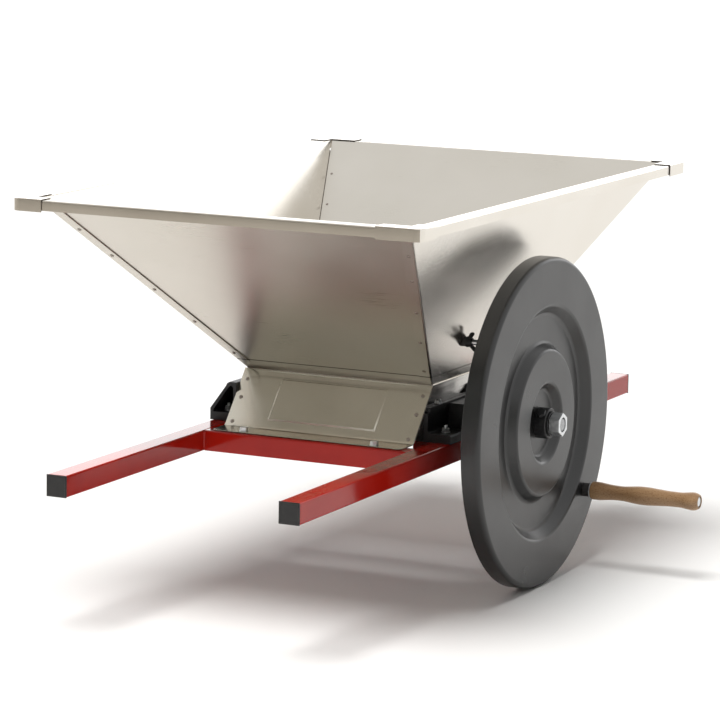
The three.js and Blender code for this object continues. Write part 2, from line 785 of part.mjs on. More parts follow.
function blade(angle) {
  const end = drumHalf - GAP;
  const teeth = Math.floor(2 * end / TOOTH_PITCH);
  const pitch = 2 * end / teeth;
  const points = [[-end, BLADE_ROOT_R], [end, BLADE_ROOT_R]];
  for (let tooth = teeth; tooth > 0; tooth -= 1) {
    const right = -end + tooth * pitch;
    points.push([right, BLADE_TIP_R - TOOTH_HEIGHT]);
    points.push([right - 0.35 * pitch, BLADE_TIP_R], [right - 0.5 * pitch, BLADE_TIP_R]);
  }
  points.push([-end, BLADE_TIP_R - TOOTH_HEIGHT]);
  const radial = vector(0, Math.cos(angle), Math.sin(angle));
  const normal = new THREE.Vector3().crossVectors(X_AXIS, radial);
  return plate(outline(points), BLADE_THICK,
    offset(shaftCentre, normal, -BLADE_THICK / 2), X_AXIS, radial);
}

function endDisc() {
  const start = drumHalf + GAP;
  return ring(SHAFT_R + GAP, END_DISC_R, shaftPoint(start), shaftPoint(start + END_DISC_THICK), 36);
}

part('main_shaft', mainShaft(), shaftSteel);
part('drum_body', alongX(outline(drumSection(), [drumBore()]), -drumHalf, drumHalf, 12),
  drumAluminium);
bladeAngles.forEach((angle, index) => part(`drum_blade_${index + 1}`, blade(angle), polished));
part('drum_key', box(
  -KEY_LENGTH / 2, KEY_LENGTH / 2, -KEY_WIDTH / 2, KEY_WIDTH / 2,
  shaftHeight + keyFoot, shaftHeight + keyTop,
), shaftSteel);
part('drum_end_disc_right', endDisc(), polished);
part('drum_end_disc_left', mirrored(endDisc()), polished);

// The collar that keeps the shaft from sliding out, at the left end
part('retaining_collar', ring(
  SHAFT_R + GAP, RETAINER_R, shaftPoint(-turnStart - RETAINER_LENGTH), shaftPoint(-turnStart), 36,
), zinc);

// Comb plates, bolted between the chamber sides

function combPlate() {
  const half = chamberX - SHEET - GAP;
  const topY = APRON_TOP_Y - COMB_IN;
  const topZ = THROAT_TOP - COMB_BELOW;
  const steepRise = topZ - COMB_BEND_Z;
  const steepRun = topY - COMB_BEND_Y;
  const thickY = COMB_SHEET * Math.hypot(steepRise, steepRun) / steepRise;
  const section = outline([
    [-topY, topZ], [-COMB_BEND_Y, COMB_BEND_Z], [-COMB_LOW_Y, COMB_LOW_Z],
    [-COMB_LOW_Y, COMB_LOW_Z - COMB_SHEET],
    [-COMB_BEND_Y - thickY, COMB_BEND_Z - COMB_SHEET], [-topY - thickY, topZ],
  ]);
  const teeth = Math.floor(2 * (half - 6) / COMB_PITCH);
  const pitch = 2 * (half - 6) / teeth;
  const notches = [];
  for (let tooth = 0; tooth < teeth; tooth += 1) {
    const middle = -half + 6 + (tooth + 0.5) * pitch;
    notches.push(alongZ(outline([
      [middle - pitch / 3, -COMB_LOW_Y + 1],
      [middle, -COMB_LOW_Y - COMB_NOTCH],
      [middle + pitch / 3, -COMB_LOW_Y + 1],
    ]), COMB_LOW_Z - 10, COMB_LOW_Z + 10));
  }
  const tabShape = outline([
    [-COMB_LOW_Y - 3, COMB_LOW_Z - 0.5], [-COMB_BEND_Y - 1, COMB_BEND_Z - 1],
    [-topY, topZ - 6], [-COMB_BOLT_Y - 3, COMB_BOLT_Z + 10],
    [-COMB_BOLT_Y + 6, COMB_BOLT_Z + 7],
  ]);
  const tab = (low) => alongX(tabShape, low, low + COMB_SHEET);
  return cut(
    join(alongX(section, -half, half), tab(half - COMB_SHEET), tab(-half)), ...notches,
  );
}
part('comb_plate_front', combPlate(), stainless);
part('comb_plate_rear', turned(combPlate()), stainless);

// Flywheel: a dished disc with its sleeve behind

const crankTurn = THREE.MathUtils.degToRad(CRANK_ANGLE);
const crankY = CRANK_RADIUS * Math.cos(crankTurn);
const crankZ = shaftHeight + CRANK_RADIUS * Math.sin(crankTurn);
const crankPoint = (x) => vector(x, crankY, crankZ);

function flywheel() {
  const face = wheelFront;
  const back = face - WHEEL_RIM_WIDTH;
  const groove = face - GROOVE_DEPTH;
  const sheet = WHEEL_SHEET;
  const lean = 1.5; // moves the back of a sloping wall, to keep it thick
  const boreR = SHAFT_R + GAP;
  const sleeveR = HUB_R - 2;
  const edge = [];
  for (let count = 0; count <= 4; count += 1) {
    const angle = Math.PI / 2 * count / 4;
    edge.push([
      face - WHEEL_EDGE_R + WHEEL_EDGE_R * Math.sin(angle),
      WHEEL_R - WHEEL_EDGE_R + WHEEL_EDGE_R * Math.cos(angle),
    ]);
  }
  const disc = turnedPiece([
    [back, WHEEL_R - sheet], [back, WHEEL_R],
    ...edge,
    [face, GROOVE_R], [groove, GROOVE_FLOOR_R], [groove, BOSS_FOOT_R], [face, BOSS_R],
    [face, WELL_R], [wellFloor, WELL_FLOOR_R], [wellFloor, boreR],
    [turnStart, boreR], [turnStart, sleeveR], [wellFloor - sheet, sleeveR],
    [wellFloor - sheet, WELL_FLOOR_R + lean], [face - sheet, WELL_R + lean],
    [face - sheet, BOSS_R - lean], [groove - sheet, BOSS_FOOT_R - lean],
    [groove - sheet, GROOVE_FLOOR_R + lean], [face - sheet, GROOVE_R + lean],
    [face - sheet, WHEEL_R - WHEEL_EDGE_R], [face - WHEEL_EDGE_R, WHEEL_R - sheet],
    [back, WHEEL_R - sheet],
  ], 60, shaftCentre, X_AXIS);
  return cut(disc, rod(SPINDLE_R + GAP, crankPoint(face - 10), crankPoint(face + 5), 16));
}

const hubStart = wellFloor + GAP;
const setBoltX = (hubStart + collarEnd) / 2 + 1;
const setBoltLean = THREE.MathUtils.degToRad(SET_BOLT_LEAN);
const setBoltDirection = vector(0, -Math.sin(setBoltLean), Math.cos(setBoltLean));

function hubCollar() {
  const body = turnedPiece([
    [hubStart, SHAFT_R + GAP], [hubStart, HUB_R], [collarEnd - 1, HUB_R],
    [collarEnd, HUB_R - 1], [collarEnd, SHAFT_R + GAP], [hubStart, SHAFT_R + GAP],
  ], 36, shaftCentre, X_AXIS);
  const middle = shaftPoint(setBoltX);
  return cut(body, rod(SET_BOLT_R + GAP, middle, offset(middle, setBoltDirection, 40), 12));
}

function setBolt() {
  const seat = offset(shaftPoint(setBoltX), setBoltDirection, HUB_R + GAP);
  return join(
    hexagon(SET_BOLT_FLATS, seat, offset(seat, setBoltDirection, 5.5)),
    rod(SET_BOLT_R, offset(seat, setBoltDirection, 1),
      offset(seat, setBoltDirection, SHAFT_R - HUB_R), 12),
  );
}

const hubWasherSeat = collarEnd + GAP;
const hubNutSeat = hubWasherSeat + HUB_WASHER_THICK + GAP;

part('flywheel', flywheel(), wheelBlack);
part('hub_collar', hubCollar(), blackCasting);
part('hub_set_bolt', setBolt(), blackCasting);
part('hub_washer', ring(THREAD_R + GAP, HUB_WASHER_R, shaftPoint(hubWasherSeat),
  shaftPoint(hubWasherSeat + HUB_WASHER_THICK)), blackCasting);
part('hub_nut', nut(shaftPoint(hubNutSeat), X_AXIS, HUB_NUT_THICK, HUB_NUT_FLATS,
  THREAD_R + GAP), zinc);

// Crank grip on its spindle

const spacerStart = wheelFront + GAP;
const spacerEnd = spacerStart + SPACER_LENGTH;
const crankWasherStart = spacerEnd + GAP;
const gripStart = crankWasherStart + WASHER_THICK + GAP;
const gripEnd = gripStart + GRIP_LENGTH;
const counterboreDepth = SPINDLE_HEAD_DEPTH + 1;

function grip() {
  const at = (share) => gripStart + share * GRIP_LENGTH;
  const boreR = clearing(SPINDLE_R + RUNNING, 24);
  const headR = SPINDLE_HEAD_R + 0.7;
  return turnedPiece([
    [at(0), boreR], [at(0), GRIP_R - 1.5], [at(0.012), GRIP_R], [at(0.08), GRIP_R],
    [at(0.17), GRIP_WAIST_R + 0.8], [at(0.26), GRIP_WAIST_R], [at(0.35), GRIP_WAIST_R + 1],
    [at(0.42), GRIP_BELLY_R - 0.5], [at(0.49), GRIP_BELLY_R], [at(0.57), GRIP_BELLY_R - 0.5],
    [at(0.66), GRIP_WAIST_R + 1.2], [at(0.74), GRIP_WAIST_R + 0.5], [at(0.81), GRIP_WAIST_R + 0.3],
    [at(0.88), GRIP_WAIST_R + 1.4], [at(0.934), GRIP_R], [at(0.97), GRIP_R - 0.8],
    [at(0.99), GRIP_END_R + 1.2], [at(1), GRIP_END_R],
    [at(1), headR], [gripEnd - counterboreDepth, headR],
    [gripEnd - counterboreDepth, boreR], [at(0), boreR],
  ], 24, crankPoint(0), X_AXIS);
}

function crankSpindle() {
  const headStart = gripEnd - counterboreDepth + 0.5;
  const tail = wheelFront - WHEEL_SHEET - SPINDLE_NUT_THICK - 4;
  return turnedPiece([
    [tail, 0], [tail, SPINDLE_R], [headStart, SPINDLE_R], [headStart, SPINDLE_HEAD_R],
    [gripEnd - 2, SPINDLE_HEAD_R], [gripEnd - 1, SPINDLE_HEAD_R - 1], [gripEnd - 1, 0],
  ], 24, crankPoint(0), X_AXIS);
}

part('crank_spacer', ring(SPINDLE_R + GAP, SPACER_R, crankPoint(spacerStart),
  crankPoint(spacerEnd)), blackPlastic);
part('crank_washer', ring(SPINDLE_R + GAP, CRANK_WASHER_R, crankPoint(crankWasherStart),
  crankPoint(crankWasherStart + WASHER_THICK)), zinc);
part('crank_grip', grip(), beech);
part('crank_spindle', crankSpindle(), zinc);
part('crank_spindle_nut', nut(crankPoint(wheelFront - WHEEL_SHEET - GAP), INWARDS,
  SPINDLE_NUT_THICK, SPINDLE_NUT_FLATS, SPINDLE_R + GAP), zinc);

// Feed flap on its cross rod

const sheetInnerX = (z) => throatX + sideRun * (z - THROAT_TOP) / slopeRise;
const rodEndX = sheetInnerX(FLAP_Z) + ROD_REACH;
const flapHalf = throatX - FLAP_PLAY;
const flapPoint = (x) => vector(x, FLAP_Y, FLAP_Z);

function feedFlap() {
  const eyeR = clearing(ROD_R + RUNNING, 24);
  const eye = ring(eyeR, eyeR + FLAP_EYE_WALL, flapPoint(-flapHalf), flapPoint(flapHalf), 24);
  const sheet = box(
    -flapHalf, flapHalf, FLAP_Y - FLAP_SHEET / 2, FLAP_Y + FLAP_SHEET / 2,
    FLAP_Z - FLAP_LENGTH, FLAP_Z - eyeR - FLAP_EYE_WALL / 2,
  );
  return join(eye, sheet);
}

// The wing nuts stand clear of the sloping sheet, on wedge washers
const wedgeFaceX = (z) => sheetInnerX(z) + SHEET * sideSlope / slopeRise + GAP;
const wedgeEnd = wedgeFaceX(FLAP_Z + WEDGE_R) + 1;

function wingNut() {
  const start = wedgeEnd + GAP;
  const end = start + WING_HUB_R + 1;
  const boreR = clearing(ROD_R + RUNNING, 24);
  const hub = turnedPiece([
    [start, boreR], [start, WING_HUB_R], [end, WING_HUB_R - 2], [end, boreR], [start, boreR],
  ], 24, vector(0, 0, 0), X_AXIS);
  const wing = (side) => {
    const shape = new THREE.Shape();
    shape.moveTo(start + 2, side * 5.6);
    shape.lineTo(start + 7, side * 5);
    shape.lineTo(start + 13, side * 12);
    shape.quadraticCurveTo(start + 16, side * 16, start + 12, side * 17);
    shape.quadraticCurveTo(start + 8, side * 17, start + 6, side * 13);
    return alongY(shape, -WING_SHEET / 2, WING_SHEET / 2);
  };
  return join(hub, wing(1), wing(-1))
    .rotateX(THREE.MathUtils.degToRad(WING_TURN))
    .translate(0, FLAP_Y, FLAP_Z);
}

part('flap_rod', rod(ROD_R, flapPoint(-rodEndX), flapPoint(rodEndX)), zinc);
part('feed_flap', feedFlap(), stainless);
part('wing_nut_right', wingNut(), blackPlastic);
part('wing_nut_left', mirrored(wingNut()), blackPlastic);

export default model;
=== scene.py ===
from math import cos, hypot, pi, radians, sin, sqrt

import bmesh
import bpy
from bmesh.types import BMEdge, BMFace, BMVert
from mathutils import Matrix, Vector


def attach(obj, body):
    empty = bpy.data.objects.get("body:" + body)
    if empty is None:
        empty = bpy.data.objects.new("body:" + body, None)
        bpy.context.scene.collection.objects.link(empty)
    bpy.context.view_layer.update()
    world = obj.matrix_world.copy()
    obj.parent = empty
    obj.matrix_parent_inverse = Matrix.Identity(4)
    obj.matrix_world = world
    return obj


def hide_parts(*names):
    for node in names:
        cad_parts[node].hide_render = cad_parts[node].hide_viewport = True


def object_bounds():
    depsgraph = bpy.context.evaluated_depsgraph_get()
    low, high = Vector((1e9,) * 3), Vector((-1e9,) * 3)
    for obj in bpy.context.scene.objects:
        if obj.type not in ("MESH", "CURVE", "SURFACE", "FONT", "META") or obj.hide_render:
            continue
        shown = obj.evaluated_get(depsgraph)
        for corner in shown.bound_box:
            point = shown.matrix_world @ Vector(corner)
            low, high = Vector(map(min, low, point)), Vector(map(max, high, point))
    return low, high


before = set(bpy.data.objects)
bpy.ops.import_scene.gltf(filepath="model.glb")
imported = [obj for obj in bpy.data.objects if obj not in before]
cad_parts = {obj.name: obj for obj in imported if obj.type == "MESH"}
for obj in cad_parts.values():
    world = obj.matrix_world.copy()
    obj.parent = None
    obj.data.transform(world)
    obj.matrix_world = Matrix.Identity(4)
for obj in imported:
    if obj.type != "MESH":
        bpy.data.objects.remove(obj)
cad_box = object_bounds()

# An apple scratter: a hand-cranked fruit mill that stands across a tub. Everything is in metres,
# in the CAD part's own frame: X along the shaft to the flywheel, Y to the rear, Z up.

# Rails and cross tubes: 30 mm square steel tube with 2 mm walls, cut to length, welded into a
# ladder and powder-coated red. The long corners are rolled round, as on any drawn tube.
mm = 0.001
TUBE = 30 * mm
TUBE_WALL = 2 * mm
TUBE_CORNER = 2.6 * mm
RAIL_X = 174 * mm
RAIL_FRONT = -580 * mm
RAIL_REAR = 568 * mm
CROSS_Y = 179 * mm
CROSS_HALF = 158.7 * mm
NOISE_REACH = {"From Min": 0.3, "From Max": 0.7}  # nearly all of a noise lies between these


def linear(code):
    """A linear colour with alpha from the six digits of an sRGB one."""
    channels = [int(code[start:start + 2], 16) / 255 for start in (0, 2, 4)]
    return tuple(c / 12.92 if c <= 0.04045 else ((c + 0.055) / 1.055) ** 2.4
                 for c in channels) + (1.0,)


def add(tree, kind, inputs=None, **settings):
    """Adds a node. An input is a value, an output, or a node that gives its first live output."""
    node = tree.nodes.new(kind)
    for name, value in settings.items():
        setattr(node, name, value)
    live = [socket for socket in node.inputs if socket.enabled]
    for name, value in (inputs or {}).items():
        socket = live[name] if isinstance(name, int) else next(s for s in live if s.name == name)
        if isinstance(value, bpy.types.Node):
            value = next(output for output in value.outputs if output.enabled)
        if isinstance(value, bpy.types.NodeSocket):
            tree.links.new(value, socket)
        else:
            socket.default_value = value
    return node


def new_material(name):
    """A material without nodes, its tree, and the Object coordinates in it."""
    material = bpy.data.materials.new(name)
    material.use_nodes = True
    tree = material.node_tree
    tree.nodes.clear()
    place = add(tree, "ShaderNodeTexCoord").outputs["Object"]
    return material, tree, place


def of_kind(kind, geometry):
    """The vertices, edges or faces among what an operator gives back."""
    return [item for item in geometry if isinstance(item, kind)]


def aimed(point, direction):
    """The matrix that puts the origin at a point and aims Z in a direction."""
    turn = Vector(direction).to_track_quat("Z", "Y").to_matrix().to_4x4()
    return Matrix.Translation(point) @ turn


def place_piece(name, shape, material, body, stands_for=(), crease=35):
    """Makes a shape an object on a body; edges sharper than the crease angle stay sharp."""
    mesh = bpy.data.meshes.new(name)
    shape.to_mesh(mesh)
    shape.free()
    mesh.materials.append(material)
    mesh.shade_smooth()
    mesh.set_sharp_from_angle(angle=radians(crease))
    piece = bpy.data.objects.new(name, mesh)
    bpy.context.scene.collection.objects.link(piece)
    piece.modifiers.new("flats_stay_flat", "WEIGHTED_NORMAL").keep_sharp = True
    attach(piece, body)
    if stands_for:
        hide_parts(*stands_for)
    return piece


def thicken(piece, thickness, sheared=None):
    """Makes a surface as thick as its sheet; the sheared edges may have their own material."""
    sheet = piece.modifiers.new("sheet", "SOLIDIFY")
    sheet.thickness = thickness
    sheet.offset = -1  # the surface is the outside
    piece.modifiers.move(1, 0)
    if sheared:
        piece.data.materials.append(sheared)
        sheet.material_offset_rim = 1
    return piece


# Powder coat over steel: a thick, even film that flows into a faint orange peel about 2 mm
# across, glossy, and a little deeper here and there. It gives broad soft highlights on a full
# red.
red_coat, tree, place = new_material("red_powder_coat_on_steel")
peel = add(tree, "ShaderNodeTexNoise", {"Vector": place, "Scale": 1 / (2.22 * mm), "Detail": 2})
drift = add(tree, "ShaderNodeTexNoise", {"Vector": place, "Scale": 1 / (71.4 * mm), "Detail": 3})
shade = add(tree, "ShaderNodeMapRange", {"Value": drift, **NOISE_REACH})
color = add(tree, "ShaderNodeMix", {"Factor": shade, "A": linear("AA160A"),
                                    "B": linear("B61D0F")}, data_type="RGBA")
rough = add(tree, "ShaderNodeMapRange", {"Value": shade, "To Min": 0.08, "To Max": 0.14})
bump = add(tree, "ShaderNodeBump", {"Height": peel, "Distance": 0.03 * mm, "Strength": 0.5})
shader = add(tree, "ShaderNodeBsdfPrincipled", {
    "Base Color": color, "Roughness": rough, "Specular IOR Level": 0.3, "Normal": bump})
add(tree, "ShaderNodeOutputMaterial", {"Surface": shader})


def square_tube(start, end):
    """The outside of a square tube between two points, open at both ends."""
    shape = bmesh.new()
    bmesh.ops.create_grid(shape, x_segments=1, y_segments=1, size=TUBE / 2)
    bmesh.ops.bevel(shape, geom=shape.verts[:], offset=TUBE_CORNER, segments=4, profile=0.5,
                    affect="VERTICES", material=-1)
    bmesh.ops.delete(shape, geom=shape.faces[:], context="FACES_ONLY")
    run = Vector(end) - Vector(start)
    out = bmesh.ops.extrude_edge_only(shape, edges=shape.edges[:])["geom"]
    bmesh.ops.translate(shape, vec=(0, 0, run.length), verts=of_kind(BMVert, out))
    bmesh.ops.transform(shape, matrix=aimed(start, run), verts=shape.verts)
    bmesh.ops.recalc_face_normals(shape, faces=shape.faces)
    return shape


for side, x in (("right", RAIL_X), ("left", -RAIL_X)):
    shape = square_tube((x, RAIL_FRONT, TUBE / 2), (x, RAIL_REAR, TUBE / 2))
    thicken(place_piece(f"square_tube_rail_{side}", shape, red_coat, "frame",
                        [f"rail_{side}"]), TUBE_WALL)
for side, y in (("rear", CROSS_Y), ("front", -CROSS_Y)):
    shape = square_tube((-CROSS_HALF, y, TUBE / 2), (CROSS_HALF, y, TUBE / 2))
    thicken(place_piece(f"square_tube_cross_{side}", shape, red_coat, "frame",
                        [f"cross_tube_{side}"]), TUBE_WALL)

# Weld beads: a fillet run up both sides of each joint between a cross tube and a rail, before
# painting. The puddle left a ripple about every 3 mm.
BEAD_R = 2.4 * mm
BEAD_FOOT = 3 * mm
BEAD_TOP = 28.5 * mm
RIPPLE = 1.5 * mm  # half a ripple, from a crest to the next hollow
END_SWELL = 1.9  # the bead's first ring against its blunt end
CREST_SWELL = 1.12
HOLLOW_SWELL = 0.89


def join_shape(whole, part):
    """Adds a shape to another and frees it."""
    mesh = bpy.data.meshes.new("part")
    part.to_mesh(mesh)
    part.free()
    whole.from_mesh(mesh)
    bpy.data.meshes.remove(mesh)


def weld_bead(whole, start, end):
    """A rippled bead between two points: a ring is pushed on and swells or shrinks each time."""
    run = Vector(end) - Vector(start)
    bead = bmesh.new()
    bmesh.ops.create_circle(bead, cap_ends=True, segments=8, radius=BEAD_R * 0.5)
    front = bead.faces[:]
    for ring in range(round(run.length / RIPPLE)):
        out = bmesh.ops.extrude_face_region(bead, geom=front)["geom"]
        bmesh.ops.delete(bead, geom=front, context="FACES_ONLY")
        front = of_kind(BMFace, out)
        verts = of_kind(BMVert, out)
        bmesh.ops.translate(bead, vec=(0, 0, RIPPLE), verts=verts)
        swell = END_SWELL if ring == 0 else (CREST_SWELL if ring % 2 else HOLLOW_SWELL)
        bmesh.ops.scale(bead, vec=(swell, swell, 1), verts=verts,
                        space=Matrix.Translation((0, 0, -RIPPLE * (ring + 1))))
    bmesh.ops.recalc_face_normals(bead, faces=bead.faces)
    bmesh.ops.transform(bead, matrix=aimed(start, run), verts=bead.verts)
    join_shape(whole, bead)


shape = bmesh.new()
for x in (RAIL_X - TUBE / 2, TUBE / 2 - RAIL_X):
    for y in (CROSS_Y, -CROSS_Y):
        for edge in (y - TUBE / 2, y + TUBE / 2):
            weld_bead(shape, (x, edge, BEAD_FOOT), (x, edge, BEAD_TOP))
place_piece("frame_weld_beads", shape, red_coat, "frame", crease=60)

# Rail plugs: square caps of black low-density polyethylene, moulded with a hollow tongue and
# pressed into the tubes' ends. The face is slightly sunk inside a rounded border.
PLUG_HEAD = 3 * mm
PLUG_STANDS_OUT = 3.3 * mm  # its face, beyond the tube's end
PLUG_BORDER = 2.6 * mm
PLUG_SUNK = 0.6 * mm
PLUG_ROUNDING = 0.9 * mm
PLUG_TONGUE_HALF = 12.7 * mm
PLUG_TONGUE = 15 * mm

# Moulded polyethylene: soft black with a waxy sheen and a fine spark-eroded grain of 0.5 mm.
plug_black, tree, place = new_material("moulded_black_polyethylene")
grain = add(tree, "ShaderNodeTexNoise", {"Vector": place, "Scale": 1 / (0.714 * mm), "Detail": 3})
scuff = add(tree, "ShaderNodeTexNoise", {"Vector": place, "Scale": 1 / (16.7 * mm), "Detail": 4})
shade = add(tree, "ShaderNodeMapRange", {"Value": scuff, "From Min": 0.35, "From Max": 0.75})
color = add(tree, "ShaderNodeMix", {"Factor": shade, "A": linear("1B1A1A"),
                                    "B": linear("2A2827")}, data_type="RGBA")
rough = add(tree, "ShaderNodeMapRange", {"Value": scuff, **NOISE_REACH,
                                         "To Min": 0.38, "To Max": 0.55})
bump = add(tree, "ShaderNodeBump", {"Height": grain, "Distance": 0.06 * mm, "Strength": 0.4})
shader = add(tree, "ShaderNodeBsdfPrincipled", {
    "Base Color": color, "Roughness": rough, "Normal": bump})
add(tree, "ShaderNodeOutputMaterial", {"Surface": shader})


def turn_round(shape, angle):
    """Turns a shape about the upright axis through the origin."""
    bmesh.ops.rotate(shape, cent=(0, 0, 0), matrix=Matrix.Rotation(angle, 3, "Z"),
                     verts=shape.verts)


def rail_plug(x, face_y, outwards):
    """A plug with its face at face_y that looks forwards (-1) or to the rear (1)."""
    shape = bmesh.new()
    bmesh.ops.create_cube(shape, size=1)
    bmesh.ops.scale(shape, vec=(TUBE, PLUG_HEAD, TUBE), verts=shape.verts)
    front = [f for f in shape.faces if f.normal.y < -0.9]
    back = [f for f in shape.faces if f.normal.y > 0.9]
    bmesh.ops.inset_region(shape, faces=front, thickness=PLUG_BORDER, depth=0)
    bmesh.ops.inset_region(shape, faces=front, thickness=1 * mm, depth=-PLUG_SUNK)
    bmesh.ops.inset_region(shape, faces=back, thickness=TUBE / 2 - PLUG_TONGUE_HALF, depth=0)
    bmesh.ops.translate(shape, vec=(0, 0.1 * mm, 0), verts=back[0].verts)
    out = bmesh.ops.extrude_face_region(shape, geom=back)["geom"]
    bmesh.ops.delete(shape, geom=back, context="FACES_ONLY")
    bmesh.ops.translate(shape, vec=(0, PLUG_TONGUE, 0), verts=of_kind(BMVert, out))
    rim = [e for e in shape.edges
           if e.calc_length() > 25 * mm and len(e.link_faces) == 2
           and e.calc_face_angle() > 1 and all(v.co.y < 2 * mm for v in e.verts)]
    bmesh.ops.bevel(shape, geom=rim, offset=PLUG_ROUNDING, segments=3, profile=0.5,
                    affect="EDGES", material=-1)
    if outwards > 0:
        turn_round(shape, pi)
    bmesh.ops.translate(shape, vec=(x, face_y - outwards * PLUG_HEAD / 2, TUBE / 2),
                        verts=shape.verts)
    bmesh.ops.recalc_face_normals(shape, faces=shape.faces)
    return shape


for end, face_y, outwards in (("front", RAIL_FRONT - PLUG_STANDS_OUT, -1),
                              ("rear", RAIL_REAR + PLUG_STANDS_OUT, 1)):
    for side, x in (("right", RAIL_X), ("left", -RAIL_X)):
        place_piece(f"moulded_plug_{end}_{side}", rail_plug(x, face_y, outwards), plug_black,
                    "frame", [f"rail_plug_{end}_{side}"])

# Hopper: four sheets of 1.2 mm stainless steel, sheared, folded and riveted into a funnel.
# Each has a collar at its foot, a slope, a flat rim and a lip turned down outside.
SHEET = 1.2 * mm
MOUTH_X = 281.5 * mm
MOUTH_Y = 454 * mm
THROAT_X = 146.3 * mm
THROAT_Y = 81.5 * mm
THROAT_Z = 106.5 * mm
COLLAR_Z = 97.5 * mm
RIM_Z = 382 * mm
RIM_WIDTH = 24.5 * mm
LIP_Z = 368 * mm
FOLD_R = 2.6 * mm
CUT_OFF = 11.5 * mm  # the rim's corners are cut off under the caps
CUT_STEP = 5.8 * mm  # how much wider the sheet is halfway along the cut than at its lip
MOUTH_GAP = 0.9 * mm  # between the sheets at the mouth's corners
# Lips that look to the front or the rear take a darker satin of painted shade.
SHADED_LIP_MATERIAL = 2  # the places of two materials in a sheet's list
FLANGE_MATERIAL = 3
# A line of painted shade across the hopper's sheets, at this height.
SHADE_LINE_Z = 121.5 * mm
SHADE_LINE_DARK = 0.42 * mm  # half the width of its dark middle
SHADE_LINE_FADED = 0.98 * mm  # from its middle to where it has faded
RISE = RIM_Z - THROAT_Z
FRONT_SLOPE = hypot(MOUTH_Y - THROAT_Y, RISE)
FRONT_UP = Vector((0, -(MOUTH_Y - THROAT_Y), RISE)) / FRONT_SLOPE
FRONT_OUT = Vector((1, 0, 0)).cross(FRONT_UP)


# Satin stainless sheet: cold-rolled, with a brushed grain along the sheet that is really 0.1 mm
# wide and is drawn about 0.5 mm wide so that it shows. It mirrors the white surroundings softly
# and keeps a warm cast. The thin sheet is never quite flat. A dark line is painted across the
# sheets a little above the fold over the throat: painted shade, as under a step in the sheet.
def brushed_stainless(name, turn, dark, pale, rough, painted_shade_line=False):
    """Satin sheet with its grain turned from X, in two shades and with about one roughness."""
    material, tree, place = new_material(name)
    along = add(tree, "ShaderNodeMapping", {
        "Vector": place, "Rotation": turn,
        "Scale": (1 / (71.4 * mm), 1 / (1.11 * mm), 1 / (1.11 * mm))})
    grain = add(tree, "ShaderNodeTexNoise", {"Vector": along, "Scale": 1, "Detail": 2})
    cloud = add(tree, "ShaderNodeTexNoise", {
        "Vector": place, "Scale": 1 / (167 * mm), "Detail": 3})
    waves = add(tree, "ShaderNodeTexNoise", {
        "Vector": place, "Scale": 1 / (250 * mm), "Detail": 0})
    shade = add(tree, "ShaderNodeMapRange", {"Value": cloud, **NOISE_REACH})
    color = add(tree, "ShaderNodeMix", {"Factor": shade, "A": linear(dark), "B": linear(pale)},
                data_type="RGBA")
    # A dark band multiplied into the colour at one height: painted shade, as under a step.
    if painted_shade_line:
        height = add(tree, "ShaderNodeSeparateXYZ", {"Vector": place}).outputs["Z"]
        above = add(tree, "ShaderNodeMath", {0: height, 1: SHADE_LINE_Z}, operation="SUBTRACT")
        away = add(tree, "ShaderNodeMath", {0: above}, operation="ABSOLUTE")
        line_shade = add(tree, "ShaderNodeMapRange", {
            "Value": away, "From Min": SHADE_LINE_DARK, "From Max": SHADE_LINE_FADED,
            "To Min": 1, "To Max": 0})
        color = add(tree, "ShaderNodeMix", {"Factor": line_shade, "A": color, "B": linear("4A4038")},
                    data_type="RGBA", blend_type="MULTIPLY")
    both = add(tree, "ShaderNodeMath", {0: grain, 1: cloud}, operation="ADD")
    uneven = add(tree, "ShaderNodeMapRange", {
        "Value": both, "From Min": 0.7, "From Max": 1.3,
        "To Min": rough - 0.03, "To Max": rough + 0.04})
    swell = add(tree, "ShaderNodeBump", {"Height": waves, "Distance": 0.5 * mm})
    bump = add(tree, "ShaderNodeBump", {
        "Height": grain, "Distance": 0.002 * mm, "Strength": 0.06, "Normal": swell})
    shader = add(tree, "ShaderNodeBsdfPrincipled", {
        "Base Color": color, "Metallic": 1, "Roughness": uneven, "Normal": bump})
    add(tree, "ShaderNodeOutputMaterial", {"Surface": shader})
    return material


stainless_across = brushed_stainless(
    "satin_stainless_grain_across", (0, 0, 0), "CAC5BB", "D1CCC3", 0.3, painted_shade_line=True)
stainless_lengthways = brushed_stainless(
    "satin_stainless_grain_lengthways", (0, 0, pi / 2), "DDD7CD", "E4DFD7", 0.24,
    painted_shade_line=True)

# The lips that look to the front and the rear get a darker, duller satin: painted shade.
stainless_lip_painted_shade = brushed_stainless(
    "satin_stainless_lip", (0, 0, 0), "A39A8D", "B0A79A", 0.34)


def mottled_metal(name, size, detail, dark, pale, rough, depth, strength):
    """Bare metal or plate: marks of one size move its shade, its roughness and its surface."""
    material, tree, place = new_material(name)
    marks = add(tree, "ShaderNodeTexNoise", {
        "Vector": place, "Scale": 1 / size, "Detail": detail})
    shade = add(tree, "ShaderNodeMapRange", {"Value": marks, **NOISE_REACH})
    color = add(tree, "ShaderNodeMix", {"Factor": shade, "A": linear(dark), "B": linear(pale)},
                data_type="RGBA")
    uneven = add(tree, "ShaderNodeMapRange", {
        "Value": shade, "To Min": rough[0], "To Max": rough[1]})
    bump = add(tree, "ShaderNodeBump", {
        "Height": marks, "Distance": depth, "Strength": strength})
    shader = add(tree, "ShaderNodeBsdfPrincipled", {
        "Base Color": color, "Metallic": 1, "Roughness": uneven, "Normal": bump})
    add(tree, "ShaderNodeOutputMaterial", {"Surface": shader})
    return material


# Sheared edge: the guillotine tears the steel, which leaves a rough grey-brown band with tears
# about 1 mm apart.
sheared_edge = mottled_metal("sheared_stainless_edge", 1.11 * mm, 3, "4E453E", "6B6159",
                             (0.45, 0.65), 0.1 * mm, 0.5)


